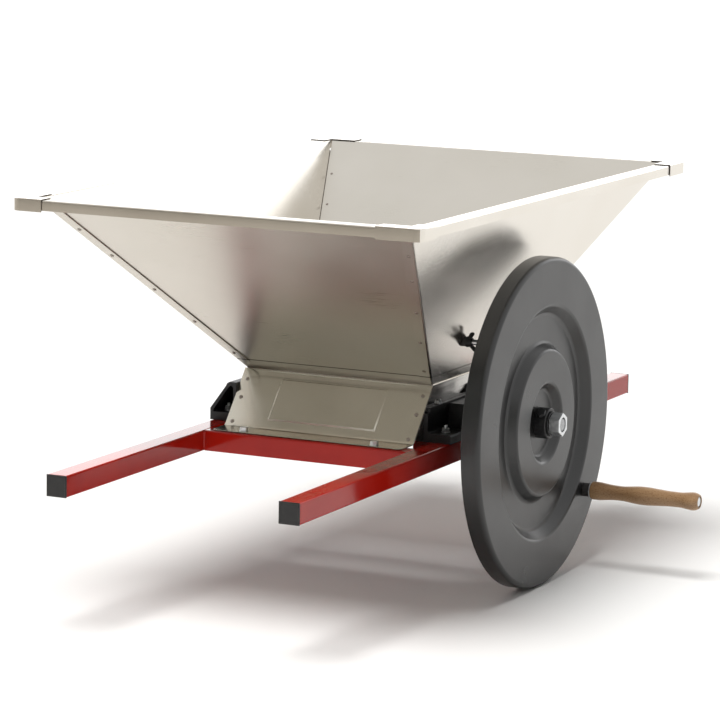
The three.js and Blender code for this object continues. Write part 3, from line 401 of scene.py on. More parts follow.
def folded_sheet(rows, width_axis=0):
    """A strip of sheet through rows of (place, height, half width along the width axis)."""
    def ends(place, height, half, *signs):
        sideways = [(sign * half, place) for sign in signs]
        return [(*(pair if width_axis == 0 else pair[::-1]), height) for pair in sideways]

    shape = bmesh.new()
    edge = [shape.edges.new([shape.verts.new(end) for end in ends(*rows[0], -1, 1)])]
    for row in rows[1:]:
        edge = of_kind(BMEdge, bmesh.ops.extrude_edge_only(shape, edges=edge)["geom"])
        for vert in edge[0].verts:
            vert.co = ends(*row, 1 if vert.co[width_axis] > 0 else -1)[0]
    bmesh.ops.recalc_face_normals(shape, faces=shape.faces)
    return shape


def round_folds(shape, radius):
    """Rounds the folds of 20 degrees or more."""
    folds = [e for e in shape.edges
             if len(e.link_faces) == 2 and e.calc_face_angle() > radians(20)]
    bmesh.ops.bevel(shape, geom=folds, offset=radius, segments=4, profile=0.5,
                    affect="EDGES", material=-1)


def face_towards(shape, point):
    """Turns all faces so that the biggest one looks at the point."""
    bmesh.ops.recalc_face_normals(shape, faces=shape.faces)
    big = max(shape.faces, key=lambda f: f.calc_area())
    if big.normal.dot(Vector(point) - big.calc_center_median()) < 0:
        bmesh.ops.reverse_faces(shape, faces=shape.faces)


def shade_front_and_rear_lips(shape):
    """Gives the lips that look to the front and the rear the darker material of painted shade."""
    for face in shape.faces:
        if abs(face.normal.y) > 0.7 and face.calc_center_median().z > LIP_Z - 3 * mm:
            face.material_index = SHADED_LIP_MATERIAL


MIDDLE_ABOVE = (0, 0, 600 * mm)
FRONT_COLLAR_HALF = 145.4 * mm
FRONT_LIP_HALF = 294.3 * mm
for side, turn in (("front", 0), ("rear", pi)):
    shape = folded_sheet([
        (-THROAT_Y, COLLAR_Z, FRONT_COLLAR_HALF), (-THROAT_Y, THROAT_Z, FRONT_COLLAR_HALF),
        (-MOUTH_Y, RIM_Z, MOUTH_X - MOUTH_GAP),
        (-MOUTH_Y - RIM_WIDTH + CUT_OFF / 2, RIM_Z, FRONT_LIP_HALF + CUT_STEP),
        (-MOUTH_Y - RIM_WIDTH, RIM_Z, FRONT_LIP_HALF),
        (-MOUTH_Y - RIM_WIDTH, LIP_Z, FRONT_LIP_HALF),
    ])
    round_folds(shape, FOLD_R)
    face_towards(shape, MIDDLE_ABOVE)
    shade_front_and_rear_lips(shape)
    turn_round(shape, turn)
    piece = place_piece(f"folded_sheet_{side}", shape, stainless_across, "frame",
                        [f"hopper_{side}"])
    thicken(piece, SHEET, sheared_edge)
    piece.data.materials.append(stainless_lip_painted_shade)


def corner_y(z):
    """Where the slopes meet, at a height: from the middle to the corner line, front or rear."""
    return THROAT_Y + (MOUTH_Y - THROAT_Y) * (z - THROAT_Z) / RISE


def corner_x(z):
    """The same, from the middle to the corner line, right or left."""
    return THROAT_X + (MOUTH_X - THROAT_X) * (z - THROAT_Z) / RISE


SIDE_COLLAR_HALF = 82.7 * mm
SIDE_LIP_HALF = 466.8 * mm
SEAM_FOOT = 108.3 * mm
SEAM_HEAD = 366.5 * mm
SEAM_WIDTH = 17 * mm
SEAM_FOLD_R = 1.6 * mm
SEAM_OFFSET = 1.5 * mm  # from the front sheet's upper side to the flange's near side


def side_sheet():
    """The right sheet: its slanting edges are folded over the front and rear sheets."""
    run_past = SEAM_OFFSET * FRONT_SLOPE / RISE
    notch = SEAM_HEAD + 1.5 * mm  # the flange ends here, under the rim
    shape = folded_sheet([
        (THROAT_X, COLLAR_Z, SIDE_COLLAR_HALF), (THROAT_X, THROAT_Z, SIDE_COLLAR_HALF),
        (corner_x(SEAM_FOOT), SEAM_FOOT, corner_y(SEAM_FOOT) + run_past),
        (corner_x(SEAM_HEAD), SEAM_HEAD, corner_y(SEAM_HEAD) + run_past),
        (corner_x(notch), notch, corner_y(notch) - 1.4 * mm),
        (MOUTH_X, RIM_Z, MOUTH_Y - MOUTH_GAP),
        (MOUTH_X + RIM_WIDTH - CUT_OFF / 2, RIM_Z, SIDE_LIP_HALF + CUT_STEP),
        (MOUTH_X + RIM_WIDTH, RIM_Z, SIDE_LIP_HALF), (MOUTH_X + RIM_WIDTH, LIP_Z, SIDE_LIP_HALF),
    ], width_axis=1)
    seams = [e for e in shape.edges if len(e.link_faces) == 1 and e.calc_length() > 0.3
             and abs(e.verts[0].co.z - e.verts[1].co.z) > 0.2]
    out = bmesh.ops.extrude_edge_only(shape, edges=seams)["geom"]
    for vert in of_kind(BMVert, out):
        vert.co.x -= SEAM_WIDTH
        if vert.co.z < SEAM_FOOT + mm:  # the flange's foot is cut off at a slant
            heel = vert.co.z + FRONT_UP.z * SEAM_WIDTH
            vert.co.x += corner_x(heel) - corner_x(vert.co.z)
            vert.co.y += (corner_y(heel) - corner_y(vert.co.z)) * (1 if vert.co.y > 0 else -1)
            vert.co.z = heel
    round_folds(shape, SEAM_FOLD_R)
    face_towards(shape, MIDDLE_ABOVE)
    for face in shape.faces:  # the flanges are brushed like the front and rear sheets
        if abs(face.normal.y) > 0.5:
            face.material_index = FLANGE_MATERIAL
    shade_front_and_rear_lips(shape)
    return shape


for side, turn in (("right", 0), ("left", pi)):
    shape = side_sheet()
    turn_round(shape, turn)
    piece = place_piece(f"folded_sheet_{side}", shape, stainless_lengthways,
                        "frame", [f"hopper_{side}"])
    thicken(piece, SHEET, sheared_edge)
    piece.data.materials.append(stainless_lip_painted_shade)
    piece.data.materials.append(stainless_across)

# Corner caps: a small stainless pressing wraps each corner of the rim, with a rounded corner
# and a skirt over the lips. One arm is longer. It is spot-welded from below, so nothing shows.
CAP_OUT_X = 307.5 * mm
CAP_OUT_Y = 480 * mm
CAP_TOP = 383.5 * mm
CAP_FOOT = 366 * mm
CAP_LONG = 66.5 * mm
CAP_SHORT = 47.5 * mm
CAP_R = 13 * mm
CAP_FOLD_R = 1.8 * mm


def corner_cap(long_x, long_y):
    """The front right cap, with arms of these lengths along X and Y."""
    shape = bmesh.new()
    arm_x, arm_y = CAP_OUT_X - long_x, CAP_OUT_Y - long_y
    corners = [(arm_x, CAP_OUT_Y), (CAP_OUT_X, CAP_OUT_Y), (CAP_OUT_X, arm_y),
               (MOUTH_X, arm_y), (MOUTH_X, MOUTH_Y), (arm_x, MOUTH_Y)]
    roof = shape.faces.new([shape.verts.new((x, -y, CAP_TOP)) for x, y in corners])
    corner = [v for v in roof.verts if v.co.x > CAP_OUT_X - mm and v.co.y < mm - CAP_OUT_Y]
    bmesh.ops.bevel(shape, geom=corner, offset=CAP_R, segments=8, profile=0.5,
                    affect="VERTICES", material=-1)
    outside = [e for e in shape.edges if all(
        v.co.x > CAP_OUT_X - CAP_R - mm and v.co.y < CAP_R + mm - CAP_OUT_Y
        or v.co.x > CAP_OUT_X - 0.1 * mm or v.co.y < 0.1 * mm - CAP_OUT_Y for v in e.verts)
        and not all(abs(v.co.x - MOUTH_X) < 0.1 * mm for v in e.verts)]
    out = bmesh.ops.extrude_edge_only(shape, edges=outside)["geom"]
    bmesh.ops.translate(shape, vec=(0, 0, CAP_FOOT - CAP_TOP), verts=of_kind(BMVert, out))
    fold = [e for e in shape.edges
            if len(e.link_faces) == 2 and all(abs(v.co.z - CAP_TOP) < 1e-6 for v in e.verts)]
    bmesh.ops.bevel(shape, geom=fold, offset=CAP_FOLD_R, segments=3, profile=0.5,
                    affect="EDGES", material=-1)
    bmesh.ops.recalc_face_normals(shape, faces=shape.faces)
    roof = max(shape.faces, key=lambda f: f.calc_area())
    if roof.normal.z < 0:
        bmesh.ops.reverse_faces(shape, faces=shape.faces)
    return shape


for end, side, flip_x, flip_y in (
    ("front", "right", 1, 1), ("front", "left", -1, 1),
    ("rear", "right", 1, -1), ("rear", "left", -1, -1),
):
    arms = (CAP_LONG, CAP_SHORT) if flip_x == flip_y else (CAP_SHORT, CAP_LONG)
    shape = corner_cap(*arms)
    bmesh.ops.scale(shape, vec=(flip_x, flip_y, 1), verts=shape.verts)
    if flip_x != flip_y:
        bmesh.ops.reverse_faces(shape, faces=shape.faces)
    shade_front_and_rear_lips(shape)
    piece = place_piece(f"pressed_cap_{end}_{side}", shape, stainless_lengthways,
                        "frame", [f"corner_cap_{end}_{side}"], crease=30)
    thicken(piece, SHEET, sheared_edge)
    piece.data.materials.append(stainless_lip_painted_shade)

# Blind rivets: stainless, 4 mm, five up each corner of the hopper and three up each side of the
# aprons. The dome outside keeps the broken mandrel in its middle; the set end shows inside.
HEAD_R = 2.6 * mm
RIVET_HEAD = [
    (0.55 * mm, 0), (0.55 * mm, 0.8 * mm), (1.15 * mm, 0.95 * mm), (1.0 * mm, 2.0 * mm),
    (0.45 * mm, 3.0 * mm), (0, HEAD_R), (-0.2 * mm, HEAD_R * 0.7), (-0.2 * mm, 0),
]
RIVET_TAIL = [
    (0, 0), (0, 1.9 * mm), (0.4 * mm, 2.1 * mm), (0.8 * mm, 1.6 * mm), (1.0 * mm, 0.6 * mm),
    (0.8 * mm, 0),
]
RIVETS_UP_THE_CORNER = (47 * mm, 136 * mm, 225 * mm, 317 * mm, 386 * mm)
CORNER_RIVET_INSET = 9 * mm
CORNER_GRIP = 2.7 * mm  # the thickness that the rivet holds


def spun(shape, steps, place):
    """Spins a wire round Z into a closed solid and puts it in its place."""
    bmesh.ops.spin(shape, geom=shape.verts[:] + shape.edges[:], cent=(0, 0, 0), axis=(0, 0, 1),
                   dvec=(0, 0, 0), angle=2 * pi, steps=steps, use_merge=True)
    bmesh.ops.remove_doubles(shape, verts=shape.verts, dist=1e-6)
    bmesh.ops.recalc_face_normals(shape, faces=shape.faces)
    bmesh.ops.transform(shape, matrix=place, verts=shape.verts)
    return shape


def turned_shape(rows, steps, place):
    """A solid from a profile of (along, radius) whose ends lie on the axis or meet."""
    shape = bmesh.new()
    chain = [shape.verts.new((radius, 0, along)) for along, radius in rows]
    for pair in zip(chain, chain[1:]):
        shape.edges.new(pair)
    return spun(shape, steps, place)


def rivet(whole, seat, direction, grip):
    """A head on the seat that looks in a direction, and the set end behind the sheets."""
    join_shape(whole, turned_shape(RIVET_HEAD, 14, aimed(seat, direction)))
    back = Vector(seat) - Vector(direction) * (grip - 0.1 * mm)
    join_shape(whole, turned_shape(RIVET_TAIL, 12, aimed(back, -Vector(direction))))


def four_ways(x, y):
    """A place and its three mirror images: x, y and the two signs of each."""
    return [(flip_x * x, flip_y * y, flip_x, flip_y) for flip_x in (1, -1) for flip_y in (1, -1)]


# Bright stainless: small cold-headed pieces, tumbled smooth, with handling marks 3 mm apart
# that break up the glint.
bright_stainless = mottled_metal("tumbled_bright_stainless", 3.33 * mm, 4, "8F867E", "A79E96",
                                 (0.22, 0.4), 0.03 * mm, 0.3)
shape = bmesh.new()
for up in RIVETS_UP_THE_CORNER:
    inset_x = THROAT_X + (MOUTH_X - THROAT_X) * up / FRONT_SLOPE - CORNER_RIVET_INSET
    seat = Vector((0, -THROAT_Y, THROAT_Z)) + FRONT_UP * up + FRONT_OUT * CORNER_GRIP
    for x, y, _, flip_y in four_ways(inset_x, seat.y):
        rivet(shape, (x, y, seat.z), (0, flip_y * FRONT_OUT.y, FRONT_OUT.z), CORNER_GRIP)
place_piece("hopper_corner_rivets", shape, bright_stainless, "frame", crease=50)

# Aprons: 1.5 mm stainless under the hopper, front and rear, to turn the pulp down. Each is
# folded to a flange that is bolted to the cross tube, and a plain rectangle is pressed into it.
APRON_SHEET = 1.5 * mm
APRON_HALF = 149 * mm
APRON_TOP = Vector((0, -88 * mm, 105.5 * mm))
APRON_FOOT = Vector((0, -150 * mm, 31.8 * mm))
APRON_EDGE_Y = -189 * mm
APRON_CORNER_R = 7 * mm
APRON_FOLD_R = 3 * mm
APRON_FLARE = 1.2 * mm  # of the sheared top edge, outwards
APRON_FLARE_HEIGHT = 1.6 * mm
APRON_UP = (APRON_TOP - APRON_FOOT).normalized()
APRON_OUT = Vector((1, 0, 0)).cross(APRON_UP)
STAMP_HALF = 85.5 * mm
STAMP_LOW = 14 * mm
STAMP_HIGH = 84 * mm
STAMP_DEPTH = 1.5 * mm
STAMP_WALL = 3 * mm
STAMP_LAND = 0.6 * mm  # a narrow flat round each side of the wall, for clean shading
APRON_RIVETS_UP = (7.5 * mm, 48 * mm, 79 * mm)
APRON_RIVET_X = 139.5 * mm
APRON_GRIP = 3.3 * mm


def slope_faces(shape):
    """The apron's faces in the plane of its slope."""
    return [f for f in shape.faces if f.normal.dot(APRON_OUT) > 0.999]


def cut_slope(shape, point, across):
    """Cuts the slope along a plane, which leaves a line of edges and takes nothing away."""
    plane = slope_faces(shape)
    parts = set(plane) | {e for f in plane for e in f.edges} | {v for f in plane for v in f.verts}
    bmesh.ops.bisect_plane(shape, geom=list(parts), plane_co=point, plane_no=across)


def apron():
    """The front apron: a slope and a flange, with the stamped rectangle in the slope."""
    shape = folded_sheet([
        (APRON_TOP.y, APRON_TOP.z, APRON_HALF), (APRON_FOOT.y, APRON_FOOT.z, APRON_HALF),
        (APRON_EDGE_Y, APRON_FOOT.z, APRON_HALF),
    ])
    corners = [v for v in shape.verts if v.co.y < APRON_EDGE_Y + mm]
    bmesh.ops.bevel(shape, geom=corners, offset=APRON_CORNER_R, segments=5, profile=0.5,
                    affect="VERTICES", material=-1)
    round_folds(shape, APRON_FOLD_R)
    face_towards(shape, (0, -500 * mm, 500 * mm))
    for x in (STAMP_HALF, -STAMP_HALF):
        cut_slope(shape, Vector((x, 0, 0)), Vector((1, 0, 0)))
    for up in (STAMP_LOW, STAMP_HIGH):
        cut_slope(shape, APRON_FOOT + APRON_UP * up, APRON_UP)
    middle = APRON_FOOT + APRON_UP * (STAMP_LOW + STAMP_HIGH) / 2
    stamp = [f for f in slope_faces(shape) if (f.calc_center_median() - middle).length < 5 * mm]
    bmesh.ops.inset_region(shape, faces=stamp, thickness=STAMP_LAND, depth=0)
    bmesh.ops.inset_region(shape, faces=stamp, thickness=STAMP_WALL, depth=STAMP_DEPTH)
    bmesh.ops.inset_region(shape, faces=stamp, thickness=STAMP_LAND, depth=0)
    cut_slope(shape, APRON_TOP - APRON_UP * APRON_FLARE_HEIGHT, APRON_UP)
    for vert in shape.verts:
        if (vert.co - APRON_TOP).dot(APRON_UP) > -0.1 * mm:
            vert.co += APRON_OUT * APRON_FLARE
    return shape


# The thicker sheet of the aprons has a closer satin, so it mirrors the frame more clearly.
stainless_apron = brushed_stainless(
    "satin_stainless_apron", (0, 0, 0), "C2BDB0", "CCC7BB", 0.2)
for side, turn in (("front", 0), ("rear", pi)):
    shape = apron()
    turn_round(shape, turn)
    thicken(place_piece(f"pressed_apron_{side}", shape, stainless_apron, "frame",
                        [f"apron_{side}"], crease=25), APRON_SHEET)

shape = bmesh.new()
for up in APRON_RIVETS_UP:
    seat = APRON_FOOT + APRON_UP * up
    for x, y, _, flip_y in four_ways(APRON_RIVET_X, seat.y):
        rivet(shape, (x, y, seat.z), (0, flip_y * APRON_OUT.y, APRON_OUT.z), APRON_GRIP)
place_piece("apron_rivets", shape, bright_stainless, "frame", crease=50)

# Chamber sides: bright-rolled 1.2 mm stainless between the aprons, riveted behind them. They
# are flat and nearly mirror-bright, so they show the castings and the frame. The rolls leave
# faint lines 2 mm apart.
polished_stainless, tree, place = new_material("bright_rolled_stainless")
along = add(tree, "ShaderNodeMapping", {
    "Vector": place, "Scale": (1 / (2 * mm), 1 / (125 * mm), 1 / (2 * mm))})
lines = add(tree, "ShaderNodeTexNoise", {"Vector": along, "Scale": 1, "Detail": 2})
waves = add(tree, "ShaderNodeTexNoise", {"Vector": place, "Scale": 1 / (83.3 * mm), "Detail": 1})
shade = add(tree, "ShaderNodeMapRange", {"Value": lines, **NOISE_REACH})
color = add(tree, "ShaderNodeMix", {"Factor": shade, "A": linear("B9B6B1"),
                                    "B": linear("C9C6C2")}, data_type="RGBA")
rough = add(tree, "ShaderNodeMapRange", {"Value": shade, "To Min": 0.12, "To Max": 0.2})
bump = add(tree, "ShaderNodeBump", {"Height": waves, "Distance": 1 * mm})
shader = add(tree, "ShaderNodeBsdfPrincipled", {
    "Base Color": color, "Metallic": 1, "Roughness": rough, "Normal": bump})
add(tree, "ShaderNodeOutputMaterial", {"Surface": shader})
for side in ("right", "left"):
    side_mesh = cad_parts[f"chamber_side_{side}"].data
    side_mesh.materials.clear()
    side_mesh.materials.append(polished_stainless)

# Side castings: grey iron, sand-cast with draught and rounded edges, bored for the bearings
# and enamelled black. Each stands on a rail and carries one end of the shaft.


def dress(name, node, material, body, rounding, segments=2, least=25, crease=35):
    """Puts a merged copy of a CAD node, its edges rounded, in the place of the node."""
    shape = bmesh.new()
    shape.from_mesh(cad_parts[node].data)
    bmesh.ops.remove_doubles(shape, verts=shape.verts, dist=2e-6)
    bmesh.ops.dissolve_limit(shape, angle_limit=radians(1), verts=shape.verts[:],
                             edges=shape.edges[:])
    if rounding:
        sharp = [e for e in shape.edges
                 if len(e.link_faces) == 2 and e.calc_face_angle() > radians(least)]
        bmesh.ops.bevel(shape, geom=sharp, offset=rounding, segments=segments, profile=0.5,
                        affect="EDGES", material=-1, clamp_overlap=True)
    place_piece(name, shape, material, body, [node], crease)


# Black enamel on a sand casting: the sand leaves a grain of about 1 mm that the paint softens,
# with slow dips of a few centimetres. It gives broken grey highlights on near-black.
casting_black, tree, place = new_material("black_enamel_on_sand_casting")
sand = add(tree, "ShaderNodeTexNoise", {"Vector": place, "Scale": 1 / (1.43 * mm), "Detail": 5})
dips = add(tree, "ShaderNodeTexNoise", {"Vector": place, "Scale": 1 / (22.2 * mm), "Detail": 2})
shade = add(tree, "ShaderNodeMapRange", {"Value": dips, "From Min": 0.35, "From Max": 0.7})
color = add(tree, "ShaderNodeMix", {"Factor": shade, "A": linear("1A1A1B"),
                                    "B": linear("242425")}, data_type="RGBA")
rough = add(tree, "ShaderNodeMapRange", {"Value": sand, **NOISE_REACH,
                                         "To Min": 0.35, "To Max": 0.55})
swell = add(tree, "ShaderNodeBump", {"Height": dips, "Distance": 1 * mm, "Strength": 0.6})
bump = add(tree, "ShaderNodeBump", {
    "Height": sand, "Distance": 0.2 * mm, "Strength": 0.5, "Normal": swell})
shader = add(tree, "ShaderNodeBsdfPrincipled", {
    "Base Color": color, "Roughness": rough, "Specular IOR Level": 0.4, "Normal": bump})
add(tree, "ShaderNodeOutputMaterial", {"Surface": shader})
for side in ("right", "left"):
    dress(f"sand_cast_bracket_{side}", f"side_casting_{side}", casting_black,
          "frame", 1.4 * mm)

# Foot fastenings: zinc-plated M6 studs stand up through the rails and the castings' pads, each
# with a bright washer and a hex nut. The apron flanges have M6 hex bolts and washers.
NUT_FLATS = 10 * mm
NUT_THICK = 5 * mm
WASHER_R = 6.5 * mm
WASHER_THICK = 1.6 * mm
WASHER_HOLE_R = 3.3 * mm
NUT_TURN = 0.3  # radians: how the spanner left the nuts
PAD_TOP = 42.3 * mm
STUD_X = 173 * mm
STUD_Y = 92 * mm
STUD_R = 3 * mm
STUD_PITCH = 1 * mm
STUD_FOOT = 18 * mm
STUD_TOP = 52.9 * mm
HEX_CUTS = 18  # planes round the cone that stand for it


def hexagon(flats, thickness, chamfered):
    """A hex prism up from Z = 0. A cone of 30 degrees cuts its corners at the chamfered ends."""
    shape = bmesh.new()
    bmesh.ops.create_cone(shape, cap_ends=True, segments=6, radius1=flats / sqrt(3),
                          radius2=flats / sqrt(3), depth=thickness)
    bmesh.ops.translate(shape, vec=(0, 0, thickness / 2), verts=shape.verts)
    for end in chamfered:
        level = thickness if end > 0 else 0
        for step in range(HEX_CUTS):
            angle = 2 * pi * step / HEX_CUTS
            outwards = Vector((cos(angle), sin(angle), 0))
            tilted = outwards * 0.5 + Vector((0, 0, 0.866 * end))
            bmesh.ops.bisect_plane(
                shape, geom=shape.verts[:] + shape.edges[:] + shape.faces[:],
                plane_co=outwards * flats * 0.49 + Vector((0, 0, level)),
                plane_no=tilted, clear_outer=True)
            bmesh.ops.holes_fill(shape, edges=shape.edges[:], sides=0)
    bmesh.ops.recalc_face_normals(shape, faces=shape.faces)
    return shape


# Zinc plate, bright and passivated: thin and silvery with a cool cast, in clouds of 4 or 5 mm.
zinc_plate = mottled_metal("bright_zinc_plate", 4.55 * mm, 4, "CCCED0", "E2E4E5",
                           (0.28, 0.44), 0.03 * mm, 0.3)


def threaded_end(radius, length, pitch):
    """A stud's end: rounded ridges one pitch apart stand for the thread, then a chamfer."""
    rows = [(0, 0), (0, radius)]
    for turn in range(int(length / pitch)):
        base = turn * pitch
        rows += [(base + pitch * 0.25, radius), (base + pitch * 0.6, radius * 0.86),
                 (base + pitch * 0.9, radius)]
    return rows + [(length - 0.6 * mm, radius), (length, radius * 0.8), (length, 0)]


for end, flip_y in (("front", -1), ("rear", 1)):
    for side, flip_x in (("right", 1), ("left", -1)):
        at = Vector((flip_x * STUD_X, flip_y * STUD_Y, 0))
        seat = at + Vector((0, 0, PAD_TOP + 0.05 * mm))
        shape = turned_shape([
            (0, WASHER_HOLE_R), (0, WASHER_R - 0.2 * mm), (0.2 * mm, WASHER_R),
            (WASHER_THICK - 0.2 * mm, WASHER_R), (WASHER_THICK, WASHER_R - 0.3 * mm),
            (WASHER_THICK, WASHER_HOLE_R), (0, WASHER_HOLE_R),
        ], 28, Matrix.Translation(seat))
        nut = hexagon(NUT_FLATS, NUT_THICK, (1, -1))
        turn_round(nut, NUT_TURN)
        bmesh.ops.translate(nut, vec=seat + Vector((0, 0, WASHER_THICK)), verts=nut.verts)
        join_shape(shape, nut)
        place_piece(f"foot_nut_{end}_{side}", shape, zinc_plate, "frame", crease=30)
        shape = turned_shape(threaded_end(STUD_R, STUD_TOP - STUD_FOOT, STUD_PITCH), 18,
                             Matrix.Translation(at + Vector((0, 0, STUD_FOOT))))
        place_piece(f"threaded_stud_{end}_{side}", shape, zinc_plate, "frame",
                    [f"foot_stud_{end}_{side}"], crease=50)

BOLT_X = 103 * mm
BOLT_SEAT_Z = 31.85 * mm
BOLT_HEAD = 4.2 * mm
THIN_WASHER = 1.3 * mm
shape = bmesh.new()
for x, y, *_ in four_ways(BOLT_X, CROSS_Y):
    seat = Vector((x, y, BOLT_SEAT_Z))
    join_shape(shape, turned_shape([
        (0, 0), (0, WASHER_R), (THIN_WASHER - 0.1 * mm, WASHER_R),
        (THIN_WASHER, WASHER_R - 0.3 * mm), (THIN_WASHER, 0),
    ], 24, Matrix.Translation(seat)))
    head = hexagon(NUT_FLATS, BOLT_HEAD, (1,))
    bmesh.ops.translate(head, vec=seat + Vector((0, 0, THIN_WASHER)), verts=head.verts)
    join_shape(shape, head)
place_piece("apron_bolts", shape, zinc_plate, "frame", crease=30)

# Bearing bushes, shaft, drum and collar: oil-filled sintered bronze bushes, a ground steel
# shaft with a threaded end, an aluminium drum with stainless blades and end discs.

# Sintered bronze: pressed powder with open pores, which are really 0.1 mm across and are drawn
# at about 0.5 mm so that they show. It is a brown gold without a clear reflection.
sintered_bronze = mottled_metal("sintered_bronze", 0.667 * mm, 3, "7D5A30", "A67C48",
                                (0.35, 0.6), 0.05 * mm, 0.6)
for side in ("right", "left"):
    dress(f"flanged_bush_{side}", f"bearing_bush_{side}", sintered_bronze, "frame",
          0.4 * mm)

# Ground steel: ground between centres, so fine marks run round the axis. They are drawn 0.6 mm
# apart so that they show, and draw a highlight out along the shaft.
ground_steel, tree, place = new_material("ground_carbon_steel")
round_axis = add(tree, "ShaderNodeMapping", {
    "Vector": place, "Scale": (1 / (0.625 * mm), 1 / (16.7 * mm), 1 / (16.7 * mm))})
marks = add(tree, "ShaderNodeTexNoise", {"Vector": round_axis, "Scale": 1, "Detail": 2})
shade = add(tree, "ShaderNodeMapRange", {"Value": marks, **NOISE_REACH})
color = add(tree, "ShaderNodeMix", {"Factor": shade, "A": linear("8C8D8F"),
                                    "B": linear("A9AAAC")}, data_type="RGBA")
rough = add(tree, "ShaderNodeMapRange", {"Value": shade, "To Min": 0.22, "To Max": 0.36})
bump = add(tree, "ShaderNodeBump", {"Height": marks, "Distance": 0.02 * mm, "Strength": 0.4})
shader = add(tree, "ShaderNodeBsdfPrincipled", {
    "Base Color": color, "Metallic": 1, "Roughness": rough, "Normal": bump})
add(tree, "ShaderNodeOutputMaterial", {"Surface": shader})
dress("ground_shaft", "main_shaft", ground_steel, "rotor", 0)
dress("shaft_key", "drum_key", ground_steel, "rotor", 0.4 * mm)

# Extruded aluminium, turned: pale and even with fine rings about 1 mm apart, dulled by juice
# in stains a few centimetres across.
turned_aluminium, tree, place = new_material("turned_aluminium")
round_axis = add(tree, "ShaderNodeMapping", {
    "Vector": place, "Scale": (1 / (0.833 * mm), 1 / (33.3 * mm), 1 / (33.3 * mm))})
rings = add(tree, "ShaderNodeTexNoise", {"Vector": round_axis, "Scale": 1, "Detail": 2})
stain = add(tree, "ShaderNodeTexNoise", {"Vector": place, "Scale": 1 / (33.3 * mm), "Detail": 5})
shade = add(tree, "ShaderNodeMapRange", {"Value": stain, **NOISE_REACH})
color = add(tree, "ShaderNodeMix", {"Factor": shade, "A": linear("A5A7A9"),
                                    "B": linear("B9BBBD")}, data_type="RGBA")
rough = add(tree, "ShaderNodeMapRange", {"Value": shade, "To Min": 0.36, "To Max": 0.5})
bump = add(tree, "ShaderNodeBump", {"Height": rings, "Distance": 0.02 * mm, "Strength": 0.5})
shader = add(tree, "ShaderNodeBsdfPrincipled", {
    "Base Color": color, "Metallic": 1, "Roughness": rough, "Normal": bump})
add(tree, "ShaderNodeOutputMaterial", {"Surface": shader})
dress("slotted_drum", "drum_body", turned_aluminium, "rotor", 0.3 * mm,
      segments=1, least=40)
for count in range(1, 9):
    dress(f"toothed_blade_{count}", f"drum_blade_{count}", polished_stainless,
          "rotor", 0.25 * mm, segments=1)
for side in ("right", "left"):
    dress(f"turned_end_disc_{side}", f"drum_end_disc_{side}", polished_stainless,
          "rotor", 0.5 * mm)
dress("turned_retaining_collar", "retaining_collar", zinc_plate, "rotor", 0.8 * mm)

# Comb plates: folded stainless under the hopper's collar, notched so that the blades' teeth
# pass. Their end tabs are bolted through the chamber sides.
COMB_BOLT_X = 149.05 * mm
COMB_BOLT_Y = 66 * mm
COMB_BOLT_Z = 79 * mm
COMB_BOLT_HEAD = 3.6 * mm
for side in ("front", "rear"):
    dress(f"notched_comb_{side}", f"comb_plate_{side}", stainless_across, "frame",
          0.3 * mm, segments=1)
shape = bmesh.new()
for x, y, flip_x, _ in four_ways(COMB_BOLT_X, COMB_BOLT_Y):
    head = hexagon(NUT_FLATS, COMB_BOLT_HEAD, (1,))
    bmesh.ops.transform(head, matrix=aimed((x, y, COMB_BOLT_Z), (flip_x, 0, 0)),
                        verts=head.verts)
    join_shape(shape, head)
place_piece("comb_bolts", shape, zinc_plate, "frame", crease=30)

# Flywheel: a heavy iron disc, cast with a rim, a ring groove, a raised ring and a well round
# the hub, then painted satin black. The shaft's key drives it through the hub collar.
SHAFT_Z = 52 * mm
SHAFT_PLACE = Matrix.Translation((0, 0, SHAFT_Z)) @ Matrix.Rotation(pi / 2, 4, "Y")
WHEEL_STEPS = 144
WHEEL_PROFILE = [  # along the shaft, radius, rounding, all in mm
    (261, 233.5, 0), (261, 237, 1), (288.5, 237, 7), (288.5, 168, 3), (273.5, 155, 4),
    (273.5, 114, 4), (288.5, 104.5, 3), (288.5, 57.5, 3), (276.5, 48, 3), (276.5, 12.8, 0),
    (195.5, 12.8, 0), (195.5, 20, 1), (273, 20, 2), (273, 49.5, 2), (285, 59, 2), (285, 103, 2),
    (270, 112.5, 3), (270, 156.5, 3), (285, 169.5, 2), (285, 230, 2), (281.5, 233.5, 1),
]


def rounded_profile(rows):
    """A closed wire from rows of (along, radius, rounding) in mm, with its corners rounded."""
    shape = bmesh.new()
    chain = [shape.verts.new((radius * mm, 0, along * mm)) for along, radius, _ in rows]
    for pair in zip(chain, chain[1:] + chain[:1]):
        shape.edges.new(pair)
    for size in sorted({r for *_, r in rows if r}):
        corners = [v for v, row in zip(chain, rows) if row[2] == size]
        bmesh.ops.bevel(shape, geom=corners, offset=size * mm, segments=5, profile=0.5,
                        affect="VERTICES", material=-1)
    return shape


# Satin black paint on iron: a thick brushed-out film with a fine peel of about 2 mm, which
# gives wide, even grey sheens on near-black.
wheel_black, tree, place = new_material("satin_black_paint_on_iron")
peel = add(tree, "ShaderNodeTexNoise", {"Vector": place, "Scale": 1 / (2 * mm), "Detail": 3})
drift = add(tree, "ShaderNodeTexNoise", {"Vector": place, "Scale": 1 / (83.3 * mm), "Detail": 4})
shade = add(tree, "ShaderNodeMapRange", {"Value": drift, **NOISE_REACH})
color = add(tree, "ShaderNodeMix", {"Factor": shade, "A": linear("0B0B0B"),
                                    "B": linear("111111")}, data_type="RGBA")
rough = add(tree, "ShaderNodeMapRange", {"Value": shade, "To Min": 0.27, "To Max": 0.36})
bump = add(tree, "ShaderNodeBump", {"Height": peel, "Distance": 0.15 * mm, "Strength": 0.5})
shader = add(tree, "ShaderNodeBsdfPrincipled", {
    "Base Color": color, "Roughness": rough, "IOR": 1.6, "Normal": bump})
